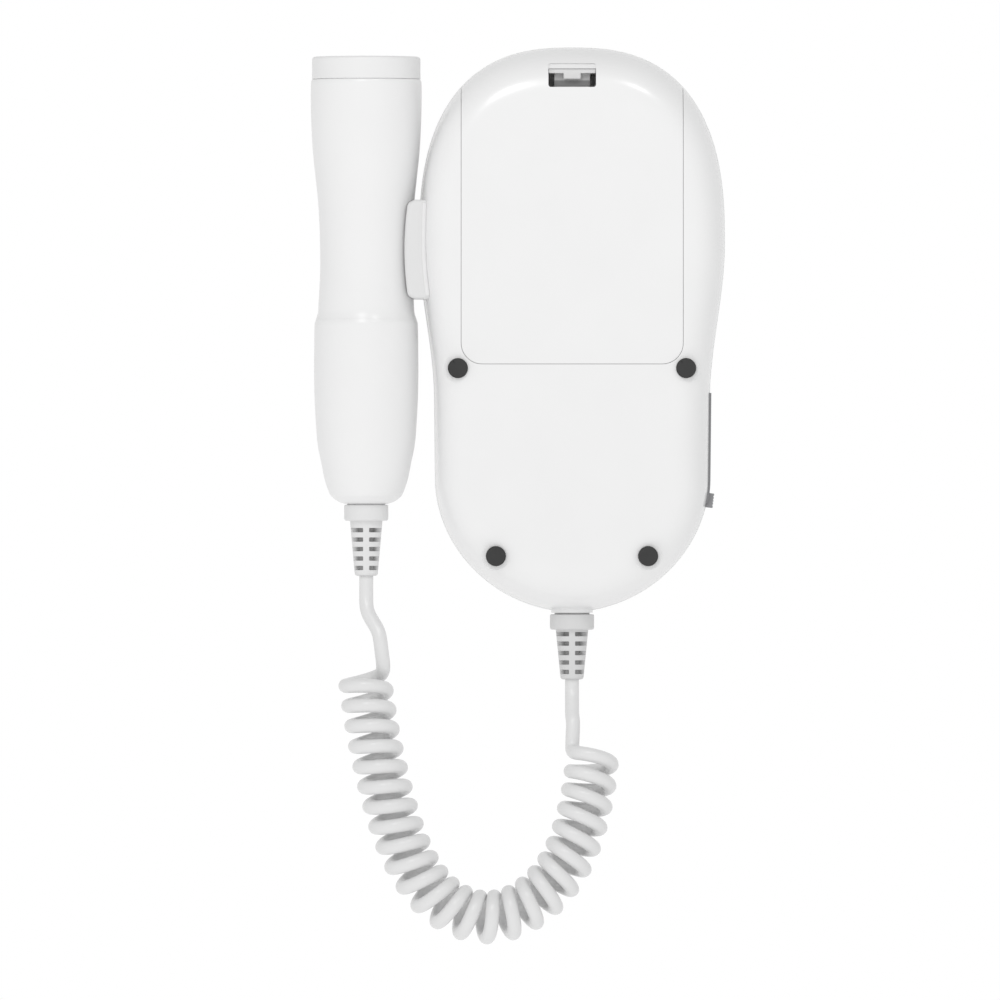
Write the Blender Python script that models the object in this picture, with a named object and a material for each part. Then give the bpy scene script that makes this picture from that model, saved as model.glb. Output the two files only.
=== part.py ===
"""Handheld fetal doppler: a hand unit with a clip-in probe on a curly cord.

The unit lies on its four rubber feet. +Z points out of its display side, +Y towards
its top end, and the probe is clipped in its cradle on the +X side. Lengths are metres.
"""
import math

import bmesh
import bpy
from mathutils import Matrix, Vector

# Case
LENGTH_BELOW_COVER = 0.0592
CASE_MARGIN = 0.00642
DOME_FLARE = 0.00375
CHIN_TAPER = 0.0002
DOME_HEIGHT = 0.04655
FLANK_LENGTH = 0.0384
CHIN_HEIGHT = 0.0317
DOME_POWER = 2.5
CHIN_POWER = 1.93
FOOT_STAND = 0.0010
BODY_THICKNESS = 0.0315
REAR_DEPTH = 0.0140
WALL = 0.0018
REAR_SIDE_ROLL = 0.0085
REAR_END_ROLL = 0.0128
FRONT_SIDE_ROLL = 0.0100
FRONT_END_ROLL = 0.0140
ROLL_POWER = 2.4
PARTING_STEP = 0.0004
GAP = 0.0003
CUT_OVERRUN = 0.0020

# Strain reliefs and cord
COLLAR_RADIUS = 0.0053
COLLAR_CHAMFER = 0.0005
MAIN_COLLAR_LENGTH = 0.0037
PROBE_COLLAR_LENGTH = 0.0042
MAIN_TAPER_LENGTH = 0.0119
PROBE_TAPER_LENGTH = 0.0132
MAIN_STANDOFF = 0.0008
PROBE_STANDOFF = 0.00036
RELIEF_ROOT_RADIUS = 0.0039
RELIEF_TIP_RADIUS = 0.0028
RELIEF_NECK_RADIUS = 0.0042
RELIEF_NECK_LENGTH = 0.0046
RELIEF_FLANGE_LENGTH = 0.0012
RELIEF_SLOT_START = 0.0013
RELIEF_SLOT_ROWS = 5
RELIEF_SLOT_PITCH = 0.00225
RELIEF_SLOT_HEIGHT = 0.00105
RELIEF_RIB_WIDTH = 0.00145
RELIEF_CORE_RADIUS = 0.0023
CORD_RADIUS = 0.0017

# Battery cover and its latch
COVER_LAP = 0.00078
COVER_CORNER_RADIUS = 0.0050
COVER_THICKNESS = 0.0016
WINDOW_HALF_WIDTH = 0.0057
WINDOW_START = 0.0039
WINDOW_END = 0.0097
LATCH_BAR_WIDTH = 0.0110
LATCH_BAR_LENGTH = 0.0010
LATCH_LEG_WIDTH = 0.0088
LATCH_PAD_WIDTH = 0.0042
LATCH_PAD_LENGTH = 0.0018
LATCH_THICKNESS = 0.0009
LATCH_BAR_START = 0.0056
LATCH_BAR_DEPTH = 0.0027
LATCH_WEB_DEPTH = 0.0046
LATCH_WEB_LENGTH = 0.0053
LATCH_TRAVEL = 0.0009
LIP_LENGTH = 0.00145
LIP_DEPTH = 0.0032
WELL_HALF_WIDTH = 0.0100
KEEPER_THICKNESS = 0.0014
WELL_LENGTH = 0.01595
RAIL_CLEARANCE = 0.00045
RAIL_LEG = 0.0008
RAIL_FOOT = 0.0016
RAIL_END_INSET = 0.0092
RAIL_START = 0.0080
LEDGE_THICKNESS = 0.0012

# Cells and bay
CELL_RADIUS = 0.00725
CELL_LENGTH = 0.0492
CELL_NUB_RADIUS = 0.00275
CELL_NUB_LENGTH = 0.0013
CELL_SPACING = 0.0150
CELL_LIFT = 0.0005
BAY_WALL = 0.0012
BAY_SPRING_ROOM = 0.0045
SPRING_WIRE_RADIUS = 0.00035
SPRING_ROOT_RADIUS = 0.0042
SPRING_TIP_RADIUS = 0.0022
SPRING_TURNS = 3
PLATE_THICKNESS = 0.0004
PLATE_WIDTH = 0.0095

# Feet and screws
FOOT_RADIUS = 0.00237
FOOT_SEAT = 0.0011
UPPER_FOOT_LAP = 0.00074
UPPER_FOOT_CLEARANCE = 0.0010
LOWER_FOOT_INSET = 0.01458
LOWER_FOOT_RISE = 0.0132
BOSS_RADIUS = 0.0033
SCREW_HEAD_RADIUS = 0.0021
SCREW_HEAD_LENGTH = 0.0014
SCREW_SHANK_RADIUS = 0.0011
SCREW_SHANK_LENGTH = 0.0150

# Front of the unit
BOARD_THICKNESS = 0.0016
BOARD_WIDTH = 0.0460
BOARD_TOP_DROP = 0.0140
BOARD_LIFT = 0.0005
BOARD_LENGTH = 0.0960
DISPLAY_WIDTH = 0.0410
DISPLAY_LENGTH = 0.0310
DISPLAY_TOP_DROP = 0.0195
DISPLAY_THICKNESS = 0.0040
LENS_WIDTH = 0.0380
LENS_LENGTH = 0.0280
LENS_THICKNESS = 0.0008
LENS_LEDGE = 0.0015
LENS_CORNER_RADIUS = 0.0040
BUTTON_RADIUS = 0.0055
BUTTONS_BELOW_DISPLAY = 0.0185
BUTTON_OFFSET = 0.0120
BUTTON_PROUD = 0.0010
BUTTON_TRAVEL = 0.0007
BUTTON_FLANGE = 0.0008
BUTTON_STEM_RADIUS = 0.0015
SWITCH_WIDTH = 0.0060
SWITCH_HEIGHT = 0.0040
SPEAKER_RADIUS = 0.0140
SPEAKER_DEPTH = 0.0060
SPEAKER_BELOW_BUTTONS = 0.0097
GRILLE_SLOTS = 5
GRILLE_PITCH = 0.0030
GRILLE_SLOT_WIDTH = 0.0012

# Side panel with the volume slider and the headphone socket
PANEL_LENGTH = 0.0279
PANEL_WIDTH = 0.0100
PANEL_BELOW_COVER = 0.0069
PANEL_PROUD = 0.0005
PANEL_THICKNESS = 0.0016
SLIDER_TRAVEL = 0.0130
KNOB_LENGTH = 0.0035
KNOB_WIDTH = 0.0040
KNOB_PROUD = 0.0012
KNOB_HEIGHT = 0.0018
KNOB_BELOW_PANEL_TOP = 0.0257
KNOB_STEM = 0.0010
POT_CLEARANCE = 0.0020
POT_LENGTH = 0.0200
POT_WIDTH = 0.0064
POT_DEPTH = 0.0050
KNOB_TILT = math.radians(7.0)
SOCKET_DROP = 0.0045
SOCKET_BORE_RADIUS = 0.00180
SOCKET_RADIUS = 0.0026
SOCKET_LENGTH = 0.0110

# Probe
PROBE_SPACE = 0.00153
PROBE_WAIST_SHARE = 0.828
PROBE_RADIUS = 0.01336
PROBE_LENGTH = 0.1068
PROBE_TOP_DROP = 0.0026
PROBE_WALL = 0.0016
PROBE_CAP_LENGTH = 0.0054
PROBE_JOINT_DROP = 0.0630
CRYSTAL_RADIUS = 0.0090
CRYSTAL_THICKNESS = 0.0012
BACKING_LENGTH = 0.0080
PROBE_BOARD_LENGTH = 0.0600
PROBE_BOARD_WIDTH = 0.0140

PROBE_PIECES = ("probe_barrel", "probe_grip", "probe_face_cap", "crystal_left", "crystal_right",
                "probe_backing", "probe_board", "probe_strain_relief")

# Cradle
CRADLE_LENGTH = 0.0238
CRADLE_HOLD = 0.00192
CRADLE_CLEARANCE = 0.0003
CRADLE_HALF_HEIGHT = 0.0082
CRADLE_TONGUE = 0.0030
CRADLE_TONGUE_THICKNESS = 0.0024
CRADLE_TONGUE_LENGTH = 0.0180
CRADLE_TIP_LOSS = 0.0008
CRADLE_CORNER = 0.0024
CRADLE_EDGE = 0.0008
CRADLE_DROP = 0.0370

# Worked out from the sizes above
BAY_HALF_WIDTH = CELL_SPACING + CELL_RADIUS + GAP
RAIL_HALF_GAUGE = BAY_HALF_WIDTH + BAY_WALL + RAIL_CLEARANCE
RAIL_LENGTH = CELL_LENGTH - RAIL_END_INSET
COVER_HALF_WIDTH = RAIL_HALF_GAUGE + RAIL_FOOT + COVER_LAP
WAIST_HALF_WIDTH = COVER_HALF_WIDTH + CASE_MARGIN
BODY_HALF_WIDTH = WAIST_HALF_WIDTH + DOME_FLARE
LOWER_HALF_WIDTH = WAIST_HALF_WIDTH - CHIN_TAPER
BAY_LENGTH = BAY_SPRING_ROOM + CELL_LENGTH + CELL_NUB_LENGTH + 3 * GAP + 2 * PLATE_THICKNESS
COVER_LENGTH = WINDOW_START + WELL_LENGTH + BAY_LENGTH - GAP / 2
BODY_LENGTH = COVER_LENGTH + LENGTH_BELOW_COVER
PANEL_TOP_DROP = COVER_LENGTH + PANEL_BELOW_COVER
KNOB_DROP = PANEL_TOP_DROP + KNOB_BELOW_PANEL_TOP
UPPER_FOOT_DROP = COVER_LENGTH + UPPER_FOOT_CLEARANCE
UPPER_FOOT_OFFSET = COVER_HALF_WIDTH + UPPER_FOOT_LAP
LOWER_FOOT_DROP = BODY_LENGTH - LOWER_FOOT_RISE
LOWER_FOOT_OFFSET = LOWER_HALF_WIDTH - LOWER_FOOT_INSET
DISPLAY_DROP = DISPLAY_TOP_DROP + DISPLAY_LENGTH / 2
BUTTON_DROP = DISPLAY_DROP + DISPLAY_LENGTH / 2 + BUTTONS_BELOW_DISPLAY
SPEAKER_DROP = BUTTON_DROP + BUTTON_RADIUS + BUTTON_FLANGE + SPEAKER_BELOW_BUTTONS + SPEAKER_RADIUS
PROBE_WAIST_RADIUS = PROBE_RADIUS * PROBE_WAIST_SHARE
PROBE_OFFSET = BODY_HALF_WIDTH + PROBE_SPACE + PROBE_WAIST_RADIUS
CRADLE_REACH = PROBE_OFFSET - PROBE_WAIST_RADIUS + CRADLE_HOLD
RELIEF_REACH = MAIN_STANDOFF + MAIN_COLLAR_LENGTH + MAIN_TAPER_LENGTH
BODY_X = -(PROBE_OFFSET + PROBE_RADIUS - BODY_HALF_WIDTH) / 2
PROBE_X = BODY_X + PROBE_OFFSET
TOP_Y = (BODY_LENGTH + RELIEF_REACH) / 2
BOTTOM_Y = TOP_Y - BODY_LENGTH
BACK_Z = FOOT_STAND
PART_Z = BACK_Z + REAR_DEPTH
FRONT_Z = BACK_Z + BODY_THICKNESS
FRONT_DEPTH = FRONT_Z - PART_Z
COVER_Y = TOP_Y - COVER_LENGTH
CELL_Z = BACK_Z + COVER_THICKNESS + CELL_LIFT + CELL_RADIUS
BAY_TOP_Z = CELL_Z + CELL_RADIUS + GAP
BOARD_Z = BAY_TOP_Z + BAY_WALL + BOARD_LIFT
BOARD_TOP_Z = BOARD_Z + BOARD_THICKNESS
FRONT_INNER_Z = FRONT_Z - WALL
KEEPER_Z = BACK_Z + LATCH_WEB_DEPTH + LATCH_THICKNESS + GAP
BAY_LOW_Y = COVER_Y - GAP / 2
PLATE_FACE_Y = BAY_LOW_Y + GAP + PLATE_THICKNESS
FAR_PLATE_FACE_Y = PLATE_FACE_Y + BAY_SPRING_ROOM + CELL_LENGTH + CELL_NUB_LENGTH + GAP
BAY_HIGH_Y = BAY_LOW_Y + BAY_LENGTH
PROBE_TOP_Y = TOP_Y - PROBE_TOP_DROP
PROBE_END_Y = PROBE_TOP_Y - PROBE_LENGTH
PROBE_TIP_Y = PROBE_END_Y - PROBE_STANDOFF - PROBE_COLLAR_LENGTH - PROBE_TAPER_LENGTH
MAIN_TIP_Y = BOTTOM_Y - RELIEF_REACH
OUTLINE_POINTS = 68
ROLL_STEPS = 5
HOLLOW_STEPS = 3
ROUND_SIDES = 32
SMALL_SIDES = 16
BUTTON_SIDES = 24
LEG_SIDES = 12


def material(name, colour, roughness, metallic=0.0, alpha=1.0):
    made = bpy.data.materials.new(name)
    made.use_nodes = True
    shader = made.node_tree.nodes["Principled BSDF"]
    shader.inputs["Base Color"].default_value = (*colour, 1.0)
    shader.inputs["Roughness"].default_value = roughness
    shader.inputs["Metallic"].default_value = metallic
    shader.inputs["Alpha"].default_value = alpha
    made.diffuse_color = (*colour, alpha)
    return made


def white_plastic(name):
    return material(name, (0.86, 0.86, 0.86), 0.35)


def grey_plastic(name):
    return material(name, (0.25, 0.25, 0.26), 0.45)


def metal(name):
    return material(name, (0.75, 0.74, 0.70), 0.3, 1.0)


def object_from(name, mesh, surface=None):
    made = bpy.data.objects.new(name, mesh)
    bpy.context.scene.collection.objects.link(made)
    if surface:
        mesh.materials.clear()
        mesh.materials.append(surface)
    return made


def mesh_from(name, rings, closed_ends=True):
    """A closed skin through rings of points, the first and last ring capped."""
    made = bmesh.new()
    rows = [[made.verts.new(point) for point in ring] for ring in rings]
    for lower, upper in zip(rows, rows[1:]):
        for index in range(len(lower)):
            after = (index + 1) % len(lower)
            made.faces.new((lower[index], lower[after], upper[after], upper[index]))
    if closed_ends:
        made.faces.new(reversed(rows[0]))
        made.faces.new(rows[-1])
    else:
        for index in range(len(rows[0])):
            after = (index + 1) % len(rows[0])
            made.faces.new((rows[-1][index], rows[-1][after], rows[0][after], rows[0][index]))
    bmesh.ops.recalc_face_normals(made, faces=made.faces)
    mesh = bpy.data.meshes.new(name)
    made.to_mesh(mesh)
    made.free()
    return mesh


def smooth(thing, angle=math.radians(35.0)):
    thing.data.shade_smooth()
    thing.data.set_sharp_from_angle(angle=angle)
    return thing


def combine(thing, other, how):
    """Apply a Boolean with another object and remove that object."""
    step = thing.modifiers.new("combine", "BOOLEAN")
    step.operation = how
    step.solver = "EXACT"
    step.object = other
    graph = bpy.context.evaluated_depsgraph_get()
    mesh = bpy.data.meshes.new_from_object(thing.evaluated_get(graph))
    thing.modifiers.clear()
    thing.data = mesh
    bpy.data.objects.remove(other)
    return thing


def set_origin(thing, point):
    """Move a piece's origin to a point, with its shape left in place."""
    thing.data.transform(Matrix.Translation(-Vector(point)))
    thing.location = point
    return thing


def cut(thing, other):
    return combine(thing, other, "DIFFERENCE")


def join(thing, other):
    return combine(thing, other, "UNION")


def keep(thing, other):
    return combine(thing, other, "INTERSECT")


def box(name, low, high, surface=None):
    corners = [(low[0], low[1]), (high[0], low[1]), (high[0], high[1]), (low[0], high[1])]
    rings = [[(x, y, z) for x, y in corners] for z in (low[2], high[2])]
    return object_from(name, mesh_from(name, rings), surface)


def ring_about(radius, height, sides):
    turn = 2 * math.pi / sides
    return [(radius * math.cos(turn * side), radius * math.sin(turn * side), height) for side in range(sides)]


def turned(name, profile, sides, place, axis="Z", surface=None):
    """A solid of revolution; profile is (radius, height) pairs up the axis."""
    mesh = mesh_from(name, [ring_about(radius, height, sides) for radius, height in profile])
    turn = {"Z": Matrix(), "Y": Matrix.Rotation(math.radians(-90.0), 4, "X"),
            "X": Matrix.Rotation(math.radians(90.0), 4, "Y")}[axis]
    mesh.transform(turn)
    mesh.transform(Matrix.Translation(place))
    return object_from(name, mesh, surface)


def hollow_turned(name, profile, sides, place, axis, surface):
    """A turned tube; profile runs once round its wall section."""
    mesh = mesh_from(name, [ring_about(radius, height, sides) for radius, height in profile], False)
    mesh.transform(Matrix.Rotation(math.radians(-90.0), 4, "X") if axis == "Y" else Matrix())
    mesh.transform(Matrix.Translation(place))
    return object_from(name, mesh, surface)


def blend_between(start, end, share):
    eased = share * share * (3 - 2 * share)
    return start + (end - start) * eased


def half_width(drop):
    """The case's half-width at a distance below its top end."""
    if drop < DOME_HEIGHT:
        rise = min(1.0, (DOME_HEIGHT - drop) / DOME_HEIGHT)
        return BODY_HALF_WIDTH * (1 - rise ** DOME_POWER) ** (1 / DOME_POWER)
    flank = drop - DOME_HEIGHT
    if flank < FLANK_LENGTH:
        return blend_between(BODY_HALF_WIDTH, WAIST_HALF_WIDTH, flank / FLANK_LENGTH)
    chin_start = BODY_LENGTH - CHIN_HEIGHT
    if drop < chin_start:
        share = (flank - FLANK_LENGTH) / (chin_start - DOME_HEIGHT - FLANK_LENGTH)
        return WAIST_HALF_WIDTH + (LOWER_HALF_WIDTH - WAIST_HALF_WIDTH) * share
    fall = min(1.0, (drop - chin_start) / CHIN_HEIGHT)
    return LOWER_HALF_WIDTH * (1 - fall ** CHIN_POWER) ** (1 / CHIN_POWER)


def half_outline(samples=400):
    """Points down the case's +X side, close together at both ends."""
    points = []
    for step in range(samples + 1):
        drop = BODY_LENGTH * (1 - math.cos(math.pi * step / samples)) / 2
        points.append(Vector((half_width(drop), -drop)))
    return points


def even_points(points, count):
    """The same open line with count evenly spaced pieces."""
    reach = [0.0]
    for before, after in zip(points, points[1:]):
        reach.append(reach[-1] + (after - before).length)
    spaced = []
    at = 0
    for step in range(count + 1):
        target = reach[-1] * step / count
        while at < len(points) - 2 and reach[at + 1] < target:
            at += 1
        span = reach[at + 1] - reach[at]
        share = (target - reach[at]) / span if span else 0.0
        spaced.append(points[at].lerp(points[at + 1], share))
    return spaced


def outline_with_normals():
    """The case's outline, from the top end round by the +X side, with outward normals."""
    side = even_points(half_outline(), OUTLINE_POINTS // 2)
    around = side + [Vector((-point.x, point.y)) for point in reversed(side[1:-1])]
    count = len(around)
    found = []
    for index, point in enumerate(around):
        along = around[(index + 1) % count] - around[index - 1]
        normal = Vector((-along.y, along.x)).normalized()
        found.append((point, normal))
    return found


OUTLINE = outline_with_normals()


def case_ring(inset, side_roll, end_roll, turn, depth, direction):
    """One ring of the rolled case edge; turn goes from 0 at the parting line to 90 degrees."""
    in_share = 1 - math.cos(turn) ** (2 / ROLL_POWER)
    down_share = math.sin(turn) ** (2 / ROLL_POWER)
    ring = []
    for point, normal in OUTLINE:
        roll = side_roll + (end_roll - side_roll) * normal.y ** 2
        moved = point - normal * (inset + roll * in_share)
        ring.append((BODY_X + moved.x, TOP_Y + moved.y, PART_Z + direction * depth * down_share))
    return ring


def half_case(name, inset, back, shell_gap=GAP / 2, surface=None, steps=ROLL_STEPS):
    """A solid half of the case; back is True for the half that carries the feet."""
    direction = -1 if back else 1
    step = PARTING_STEP if back else 0.0
    depth = (REAR_DEPTH if back else FRONT_DEPTH) - inset
    side = (REAR_SIDE_ROLL if back else FRONT_SIDE_ROLL) - inset
    end = (REAR_END_ROLL if back else FRONT_END_ROLL) - inset
    rings = []
    for roll_step in range(steps + 1):
        turn = min(math.pi / 2, math.pi / 2 * roll_step / steps)
        rings.append(case_ring(inset + step, side, end, turn, depth, direction))
    edge = PART_Z + direction * shell_gap
    rings[0] = [(x, y, edge) for x, y, z in rings[0]]
    return object_from(name, mesh_from(name, rings), surface)


def hollow_case(name, back, surface):
    shell = half_case(name, 0.0, back, GAP / 2, surface)
    steps = ROLL_STEPS if back else HOLLOW_STEPS
    return cut(shell, half_case("case_hollow", WALL, back, -CUT_OVERRUN, None, steps))


def plan_prism(name, plan, low, high, surface=None):
    return object_from(name, mesh_from(name, [[(x, y, z) for x, y in plan] for z in (low, high)]), surface)


def rounded_plan(low, high, radius, corners):
    """A rectangle in plan with some corners rounded; corners are lower left, lower right,
    upper right and upper left."""
    steps = 6
    plan = []
    places = [(low[0], low[1]), (high[0], low[1]), (high[0], high[1]), (low[0], high[1])]
    for index, (x, y) in enumerate(places):
        if not corners[index]:
            plan.append((x, y))
            continue
        centre_x = x + radius * (1 if x == low[0] else -1)
        centre_y = y + radius * (1 if y == low[1] else -1)
        for step in range(steps + 1):
            turn = math.pi + math.pi / 2 * (index + step / steps)
            plan.append((centre_x + radius * math.cos(turn), centre_y + radius * math.sin(turn)))
    return plan


def cover_prism(name, grow, high):
    """The battery cover's outline in plan, grown by a seam's share, through the rear half."""
    half = COVER_HALF_WIDTH + grow
    low = (BODY_X - half, COVER_Y - grow)
    top = (BODY_X + half, TOP_Y + CUT_OVERRUN)
    plan = rounded_plan(low, top, COVER_CORNER_RADIUS + grow, (True, True, False, False))
    return plan_prism(name, plan, -CUT_OVERRUN, high)


def foot_places():
    """Where the four feet stand, with their screws behind them."""
    for name, offset, drop in (("upper", UPPER_FOOT_OFFSET, UPPER_FOOT_DROP),
                               ("lower", LOWER_FOOT_OFFSET, LOWER_FOOT_DROP)):
        for side, sign in (("left", 1), ("right", -1)):
            yield f"{name}_{side}", BODY_X + sign * offset, TOP_Y - drop


def cylinder(name, radius, x, y, low, high, sides=SMALL_SIDES, surface=None):
    return turned(name, [(radius, low), (radius, high)], sides, (x, y, 0.0), "Z", surface)


def y_cylinder(name, radius, x, z, low, high, sides=SMALL_SIDES, surface=None):
    return turned(name, [(radius, low), (radius, high)], sides, (x, 0.0, z), "Y", surface)


def bay_tub():
    """The open tray for the three cells, with its end walls and roof."""
    low_y = BAY_LOW_Y - BAY_WALL
    high_y = BAY_HIGH_Y + BAY_WALL
    half = BAY_HALF_WIDTH + BAY_WALL
    tub = box("tub", (BODY_X - half, low_y, KEEPER_Z), (BODY_X + half, high_y, BAY_TOP_Z + BAY_WALL))
    inner = box("tub_inner", (BODY_X - BAY_HALF_WIDTH, BAY_LOW_Y, KEEPER_Z - CUT_OVERRUN),
                (BODY_X + BAY_HALF_WIDTH, BAY_HIGH_Y, BAY_TOP_Z))
    tub = cut(tub, inner)
    foot = box("tub_foot", (BODY_X - half, low_y, BACK_Z + COVER_THICKNESS / 2),
               (BODY_X + half, BAY_LOW_Y, KEEPER_Z + BAY_WALL))
    return join(tub, foot)


def latch_well():
    """The closed pocket beyond the cells, whose far wall is the latch's keeper."""
    half = WELL_HALF_WIDTH + BAY_WALL
    high_y = TOP_Y - WINDOW_START
    low_y = BAY_HIGH_Y + BAY_WALL / 2
    well = box("well", (BODY_X - half, low_y, KEEPER_Z), (BODY_X + half, high_y, BAY_TOP_Z + BAY_WALL))
    inner = box("well_inner", (BODY_X - WELL_HALF_WIDTH, BAY_HIGH_Y + BAY_WALL, KEEPER_Z - CUT_OVERRUN),
                (BODY_X + WELL_HALF_WIDTH, high_y - KEEPER_THICKNESS, BAY_TOP_Z))
    return cut(well, inner)


def cover_ledges(shell):
    """Two ledges beside the opening, which the cover's rails slide behind."""
    low_z = BACK_Z + COVER_THICKNESS + GAP
    low_y = COVER_Y + RAIL_START - GAP
    high_y = low_y + RAIL_LENGTH
    inner = RAIL_HALF_GAUGE + GAP
    edge = COVER_HALF_WIDTH + GAP
    root = edge + LEDGE_THICKNESS
    for sign in (-1, 1):
        x_low, x_high = sorted((BODY_X + sign * inner, BODY_X + sign * root))
        ledge = box("ledge", (x_low, low_y, low_z), (x_high, high_y, low_z + LEDGE_THICKNESS))
        x_low, x_high = sorted((BODY_X + sign * edge, BODY_X + sign * root))
        heel = box("heel", (x_low, low_y, BACK_Z + COVER_THICKNESS / 2),
                   (x_high, high_y, low_z + LEDGE_THICKNESS))
        shell = join(shell, join(ledge, heel))
    return shell


def cord_exit_hole(shell):
    low = BOTTOM_Y - CUT_OVERRUN
    high = BOTTOM_Y + WALL + PARTING_STEP + CUT_OVERRUN
    return cut(shell, y_cylinder("exit_hole", RELIEF_NECK_RADIUS + GAP, BODY_X, PART_Z, low, high))


def band(name, outward, inward, low_drop, high_drop, half_height):
    """A plate that follows the case's -X side between two distances below the top end."""
    steps = 12
    outer = []
    inner = []
    for step in range(steps + 1):
        drop = low_drop + (high_drop - low_drop) * step / steps
        slope = half_width(drop + GAP) - half_width(drop - GAP)
        normal = Vector((-2 * GAP, -slope)).normalized()
        base = Vector((BODY_X - half_width(drop), TOP_Y - drop))
        outer.append(base + normal * outward)
        inner.append(base - normal * inward)
    plan = [tuple(point) for point in outer + inner[::-1]]
    return plan_prism(name, plan, PART_Z - half_height, PART_Z + half_height)


def panel_notch(shell):
    """The shallow seat for the side panel, and the way through for its slider and socket."""
    seat = band("panel_seat", CUT_OVERRUN, PANEL_THICKNESS - PANEL_PROUD + GAP,
                PANEL_TOP_DROP - GAP, PANEL_TOP_DROP + PANEL_LENGTH + GAP, PANEL_WIDTH / 2 + GAP)
    shell = cut(shell, seat)
    through = band("slider_way", CUT_OVERRUN, WALL + CUT_OVERRUN,
                   KNOB_DROP - SLIDER_TRAVEL - KNOB_LENGTH / 2, KNOB_DROP + KNOB_LENGTH / 4,
                   KNOB_STEM / 2 + GAP)
    shell = cut(shell, through)
    y, x = socket_place()
    deep = x + SOCKET_LENGTH
    bore = turned("socket_way", [(SOCKET_RADIUS + GAP, x - CUT_OVERRUN), (SOCKET_RADIUS + GAP, deep)],
                  SMALL_SIDES, (0.0, y, PART_Z), "X")
    return cut(shell, bore)


def socket_place():
    drop = PANEL_TOP_DROP + SOCKET_DROP
    return TOP_Y - drop, BODY_X - half_width(drop) - PANEL_PROUD


def tongue_slot(shell):
    """The slot at the parting line that traps the cradle's tongue."""
    middle = TOP_Y - CRADLE_DROP - CRADLE_LENGTH / 2
    reach = CRADLE_TONGUE_LENGTH / 2 + GAP
    height = CRADLE_TONGUE_THICKNESS / 2 + GAP
    side = BODY_X + BODY_HALF_WIDTH
    slot = box("tongue_slot", (side - CRADLE_TONGUE - GAP, middle - reach, PART_Z - height),
               (side + CUT_OVERRUN, middle + reach, PART_Z + height))
    return cut(shell, slot)


def rear_shell():
    white = white_plastic("rear_shell_white")
    shell = hollow_case("rear_shell", True, white)
    fittings = join(bay_tub(), latch_well())
    for name, x, y in foot_places():
        fittings = join(fittings, cylinder("boss", BOSS_RADIUS, x, y, BACK_Z + WALL / 2, PART_Z - GAP / 2))
    shell = join(shell, fittings)
    opening = half_case("opening", -CUT_OVERRUN, True, -CUT_OVERRUN)
    opening = cut(opening, half_case("opening_floor", COVER_THICKNESS + GAP, True, -2 * CUT_OVERRUN))
    opening = keep(opening, cover_prism("opening_edge", GAP / 2, PART_Z + CUT_OVERRUN / 2))
    shell = cut(shell, opening)
    shell = cover_ledges(shell)
    for name, x, y in foot_places():
        seat = BACK_Z + FOOT_SEAT
        head = seat + GAP + SCREW_HEAD_LENGTH + GAP
        shell = cut(shell, cylinder("foot_seat", FOOT_RADIUS + GAP / 2, x, y, -CUT_OVERRUN, seat))
        shell = cut(shell, cylinder("head_seat", SCREW_HEAD_RADIUS + GAP / 2, x, y, seat - GAP, head))
        shell = cut(shell, cylinder("screw_hole", SCREW_SHANK_RADIUS + GAP, x, y, head - GAP,
                                    PART_Z + CUT_OVERRUN))
    shell = cord_exit_hole(shell)
    shell = panel_notch(shell)
    return smooth(tongue_slot(shell))


def front_shell():
    white = white_plastic("front_shell_white")
    shell = hollow_case("front_shell", False, white)
    posts = None
    for name, x, y in foot_places():
        post = cylinder("post", BOSS_RADIUS, x, y, PART_Z + GAP / 2, FRONT_Z)
        posts = join(posts, post) if posts else post
    posts = keep(posts, half_case("post_limit", WALL / 2, False, -CUT_OVERRUN))
    shell = join(shell, posts)
    for name, x, y in foot_places():
        tip = BACK_Z + FOOT_SEAT + GAP + SCREW_HEAD_LENGTH + SCREW_SHANK_LENGTH + GAP
        shell = cut(shell, cylinder("thread_hole", SCREW_SHANK_RADIUS + GAP, x, y, PART_Z - CUT_OVERRUN, tip))
    shell = cut(shell, lens_plan("lens_seat", GAP / 2, FRONT_Z - LENS_THICKNESS - GAP, FRONT_Z + CUT_OVERRUN))
    shell = cut(shell, lens_plan("lens_way", -LENS_LEDGE, FRONT_INNER_Z - CUT_OVERRUN, FRONT_Z))
    for sign in (-1, 1):
        shell = cut(shell, cylinder("button_way", BUTTON_RADIUS + GAP, BODY_X + sign * BUTTON_OFFSET,
                                    TOP_Y - BUTTON_DROP, FRONT_INNER_Z - CUT_OVERRUN,
                                    FRONT_Z + CUT_OVERRUN, BUTTON_SIDES))
    for slot in range(GRILLE_SLOTS):
        offset = (slot - (GRILLE_SLOTS - 1) / 2) * GRILLE_PITCH
        half = math.sqrt((SPEAKER_RADIUS - GRILLE_PITCH) ** 2 - offset ** 2)
        y = TOP_Y - SPEAKER_DROP + offset
        opening = box("grille", (BODY_X - half, y - GRILLE_SLOT_WIDTH / 2, FRONT_INNER_Z - CUT_OVERRUN),
                      (BODY_X + half, y + GRILLE_SLOT_WIDTH / 2, FRONT_Z + CUT_OVERRUN))
        shell = cut(shell, opening)
    shell = cord_exit_hole(shell)
    shell = panel_notch(shell)
    return smooth(tongue_slot(shell))


def lens_plan(name, grow, low, high, surface=None):
    middle = TOP_Y - DISPLAY_DROP
    corner = (BODY_X - LENS_WIDTH / 2 - grow, middle - LENS_LENGTH / 2 - grow)
    other = (BODY_X + LENS_WIDTH / 2 + grow, middle + LENS_LENGTH / 2 + grow)
    plan = rounded_plan(corner, other, LENS_CORNER_RADIUS + grow, (True, True, True, True))
    return plan_prism(name, plan, low, high, surface)


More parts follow.
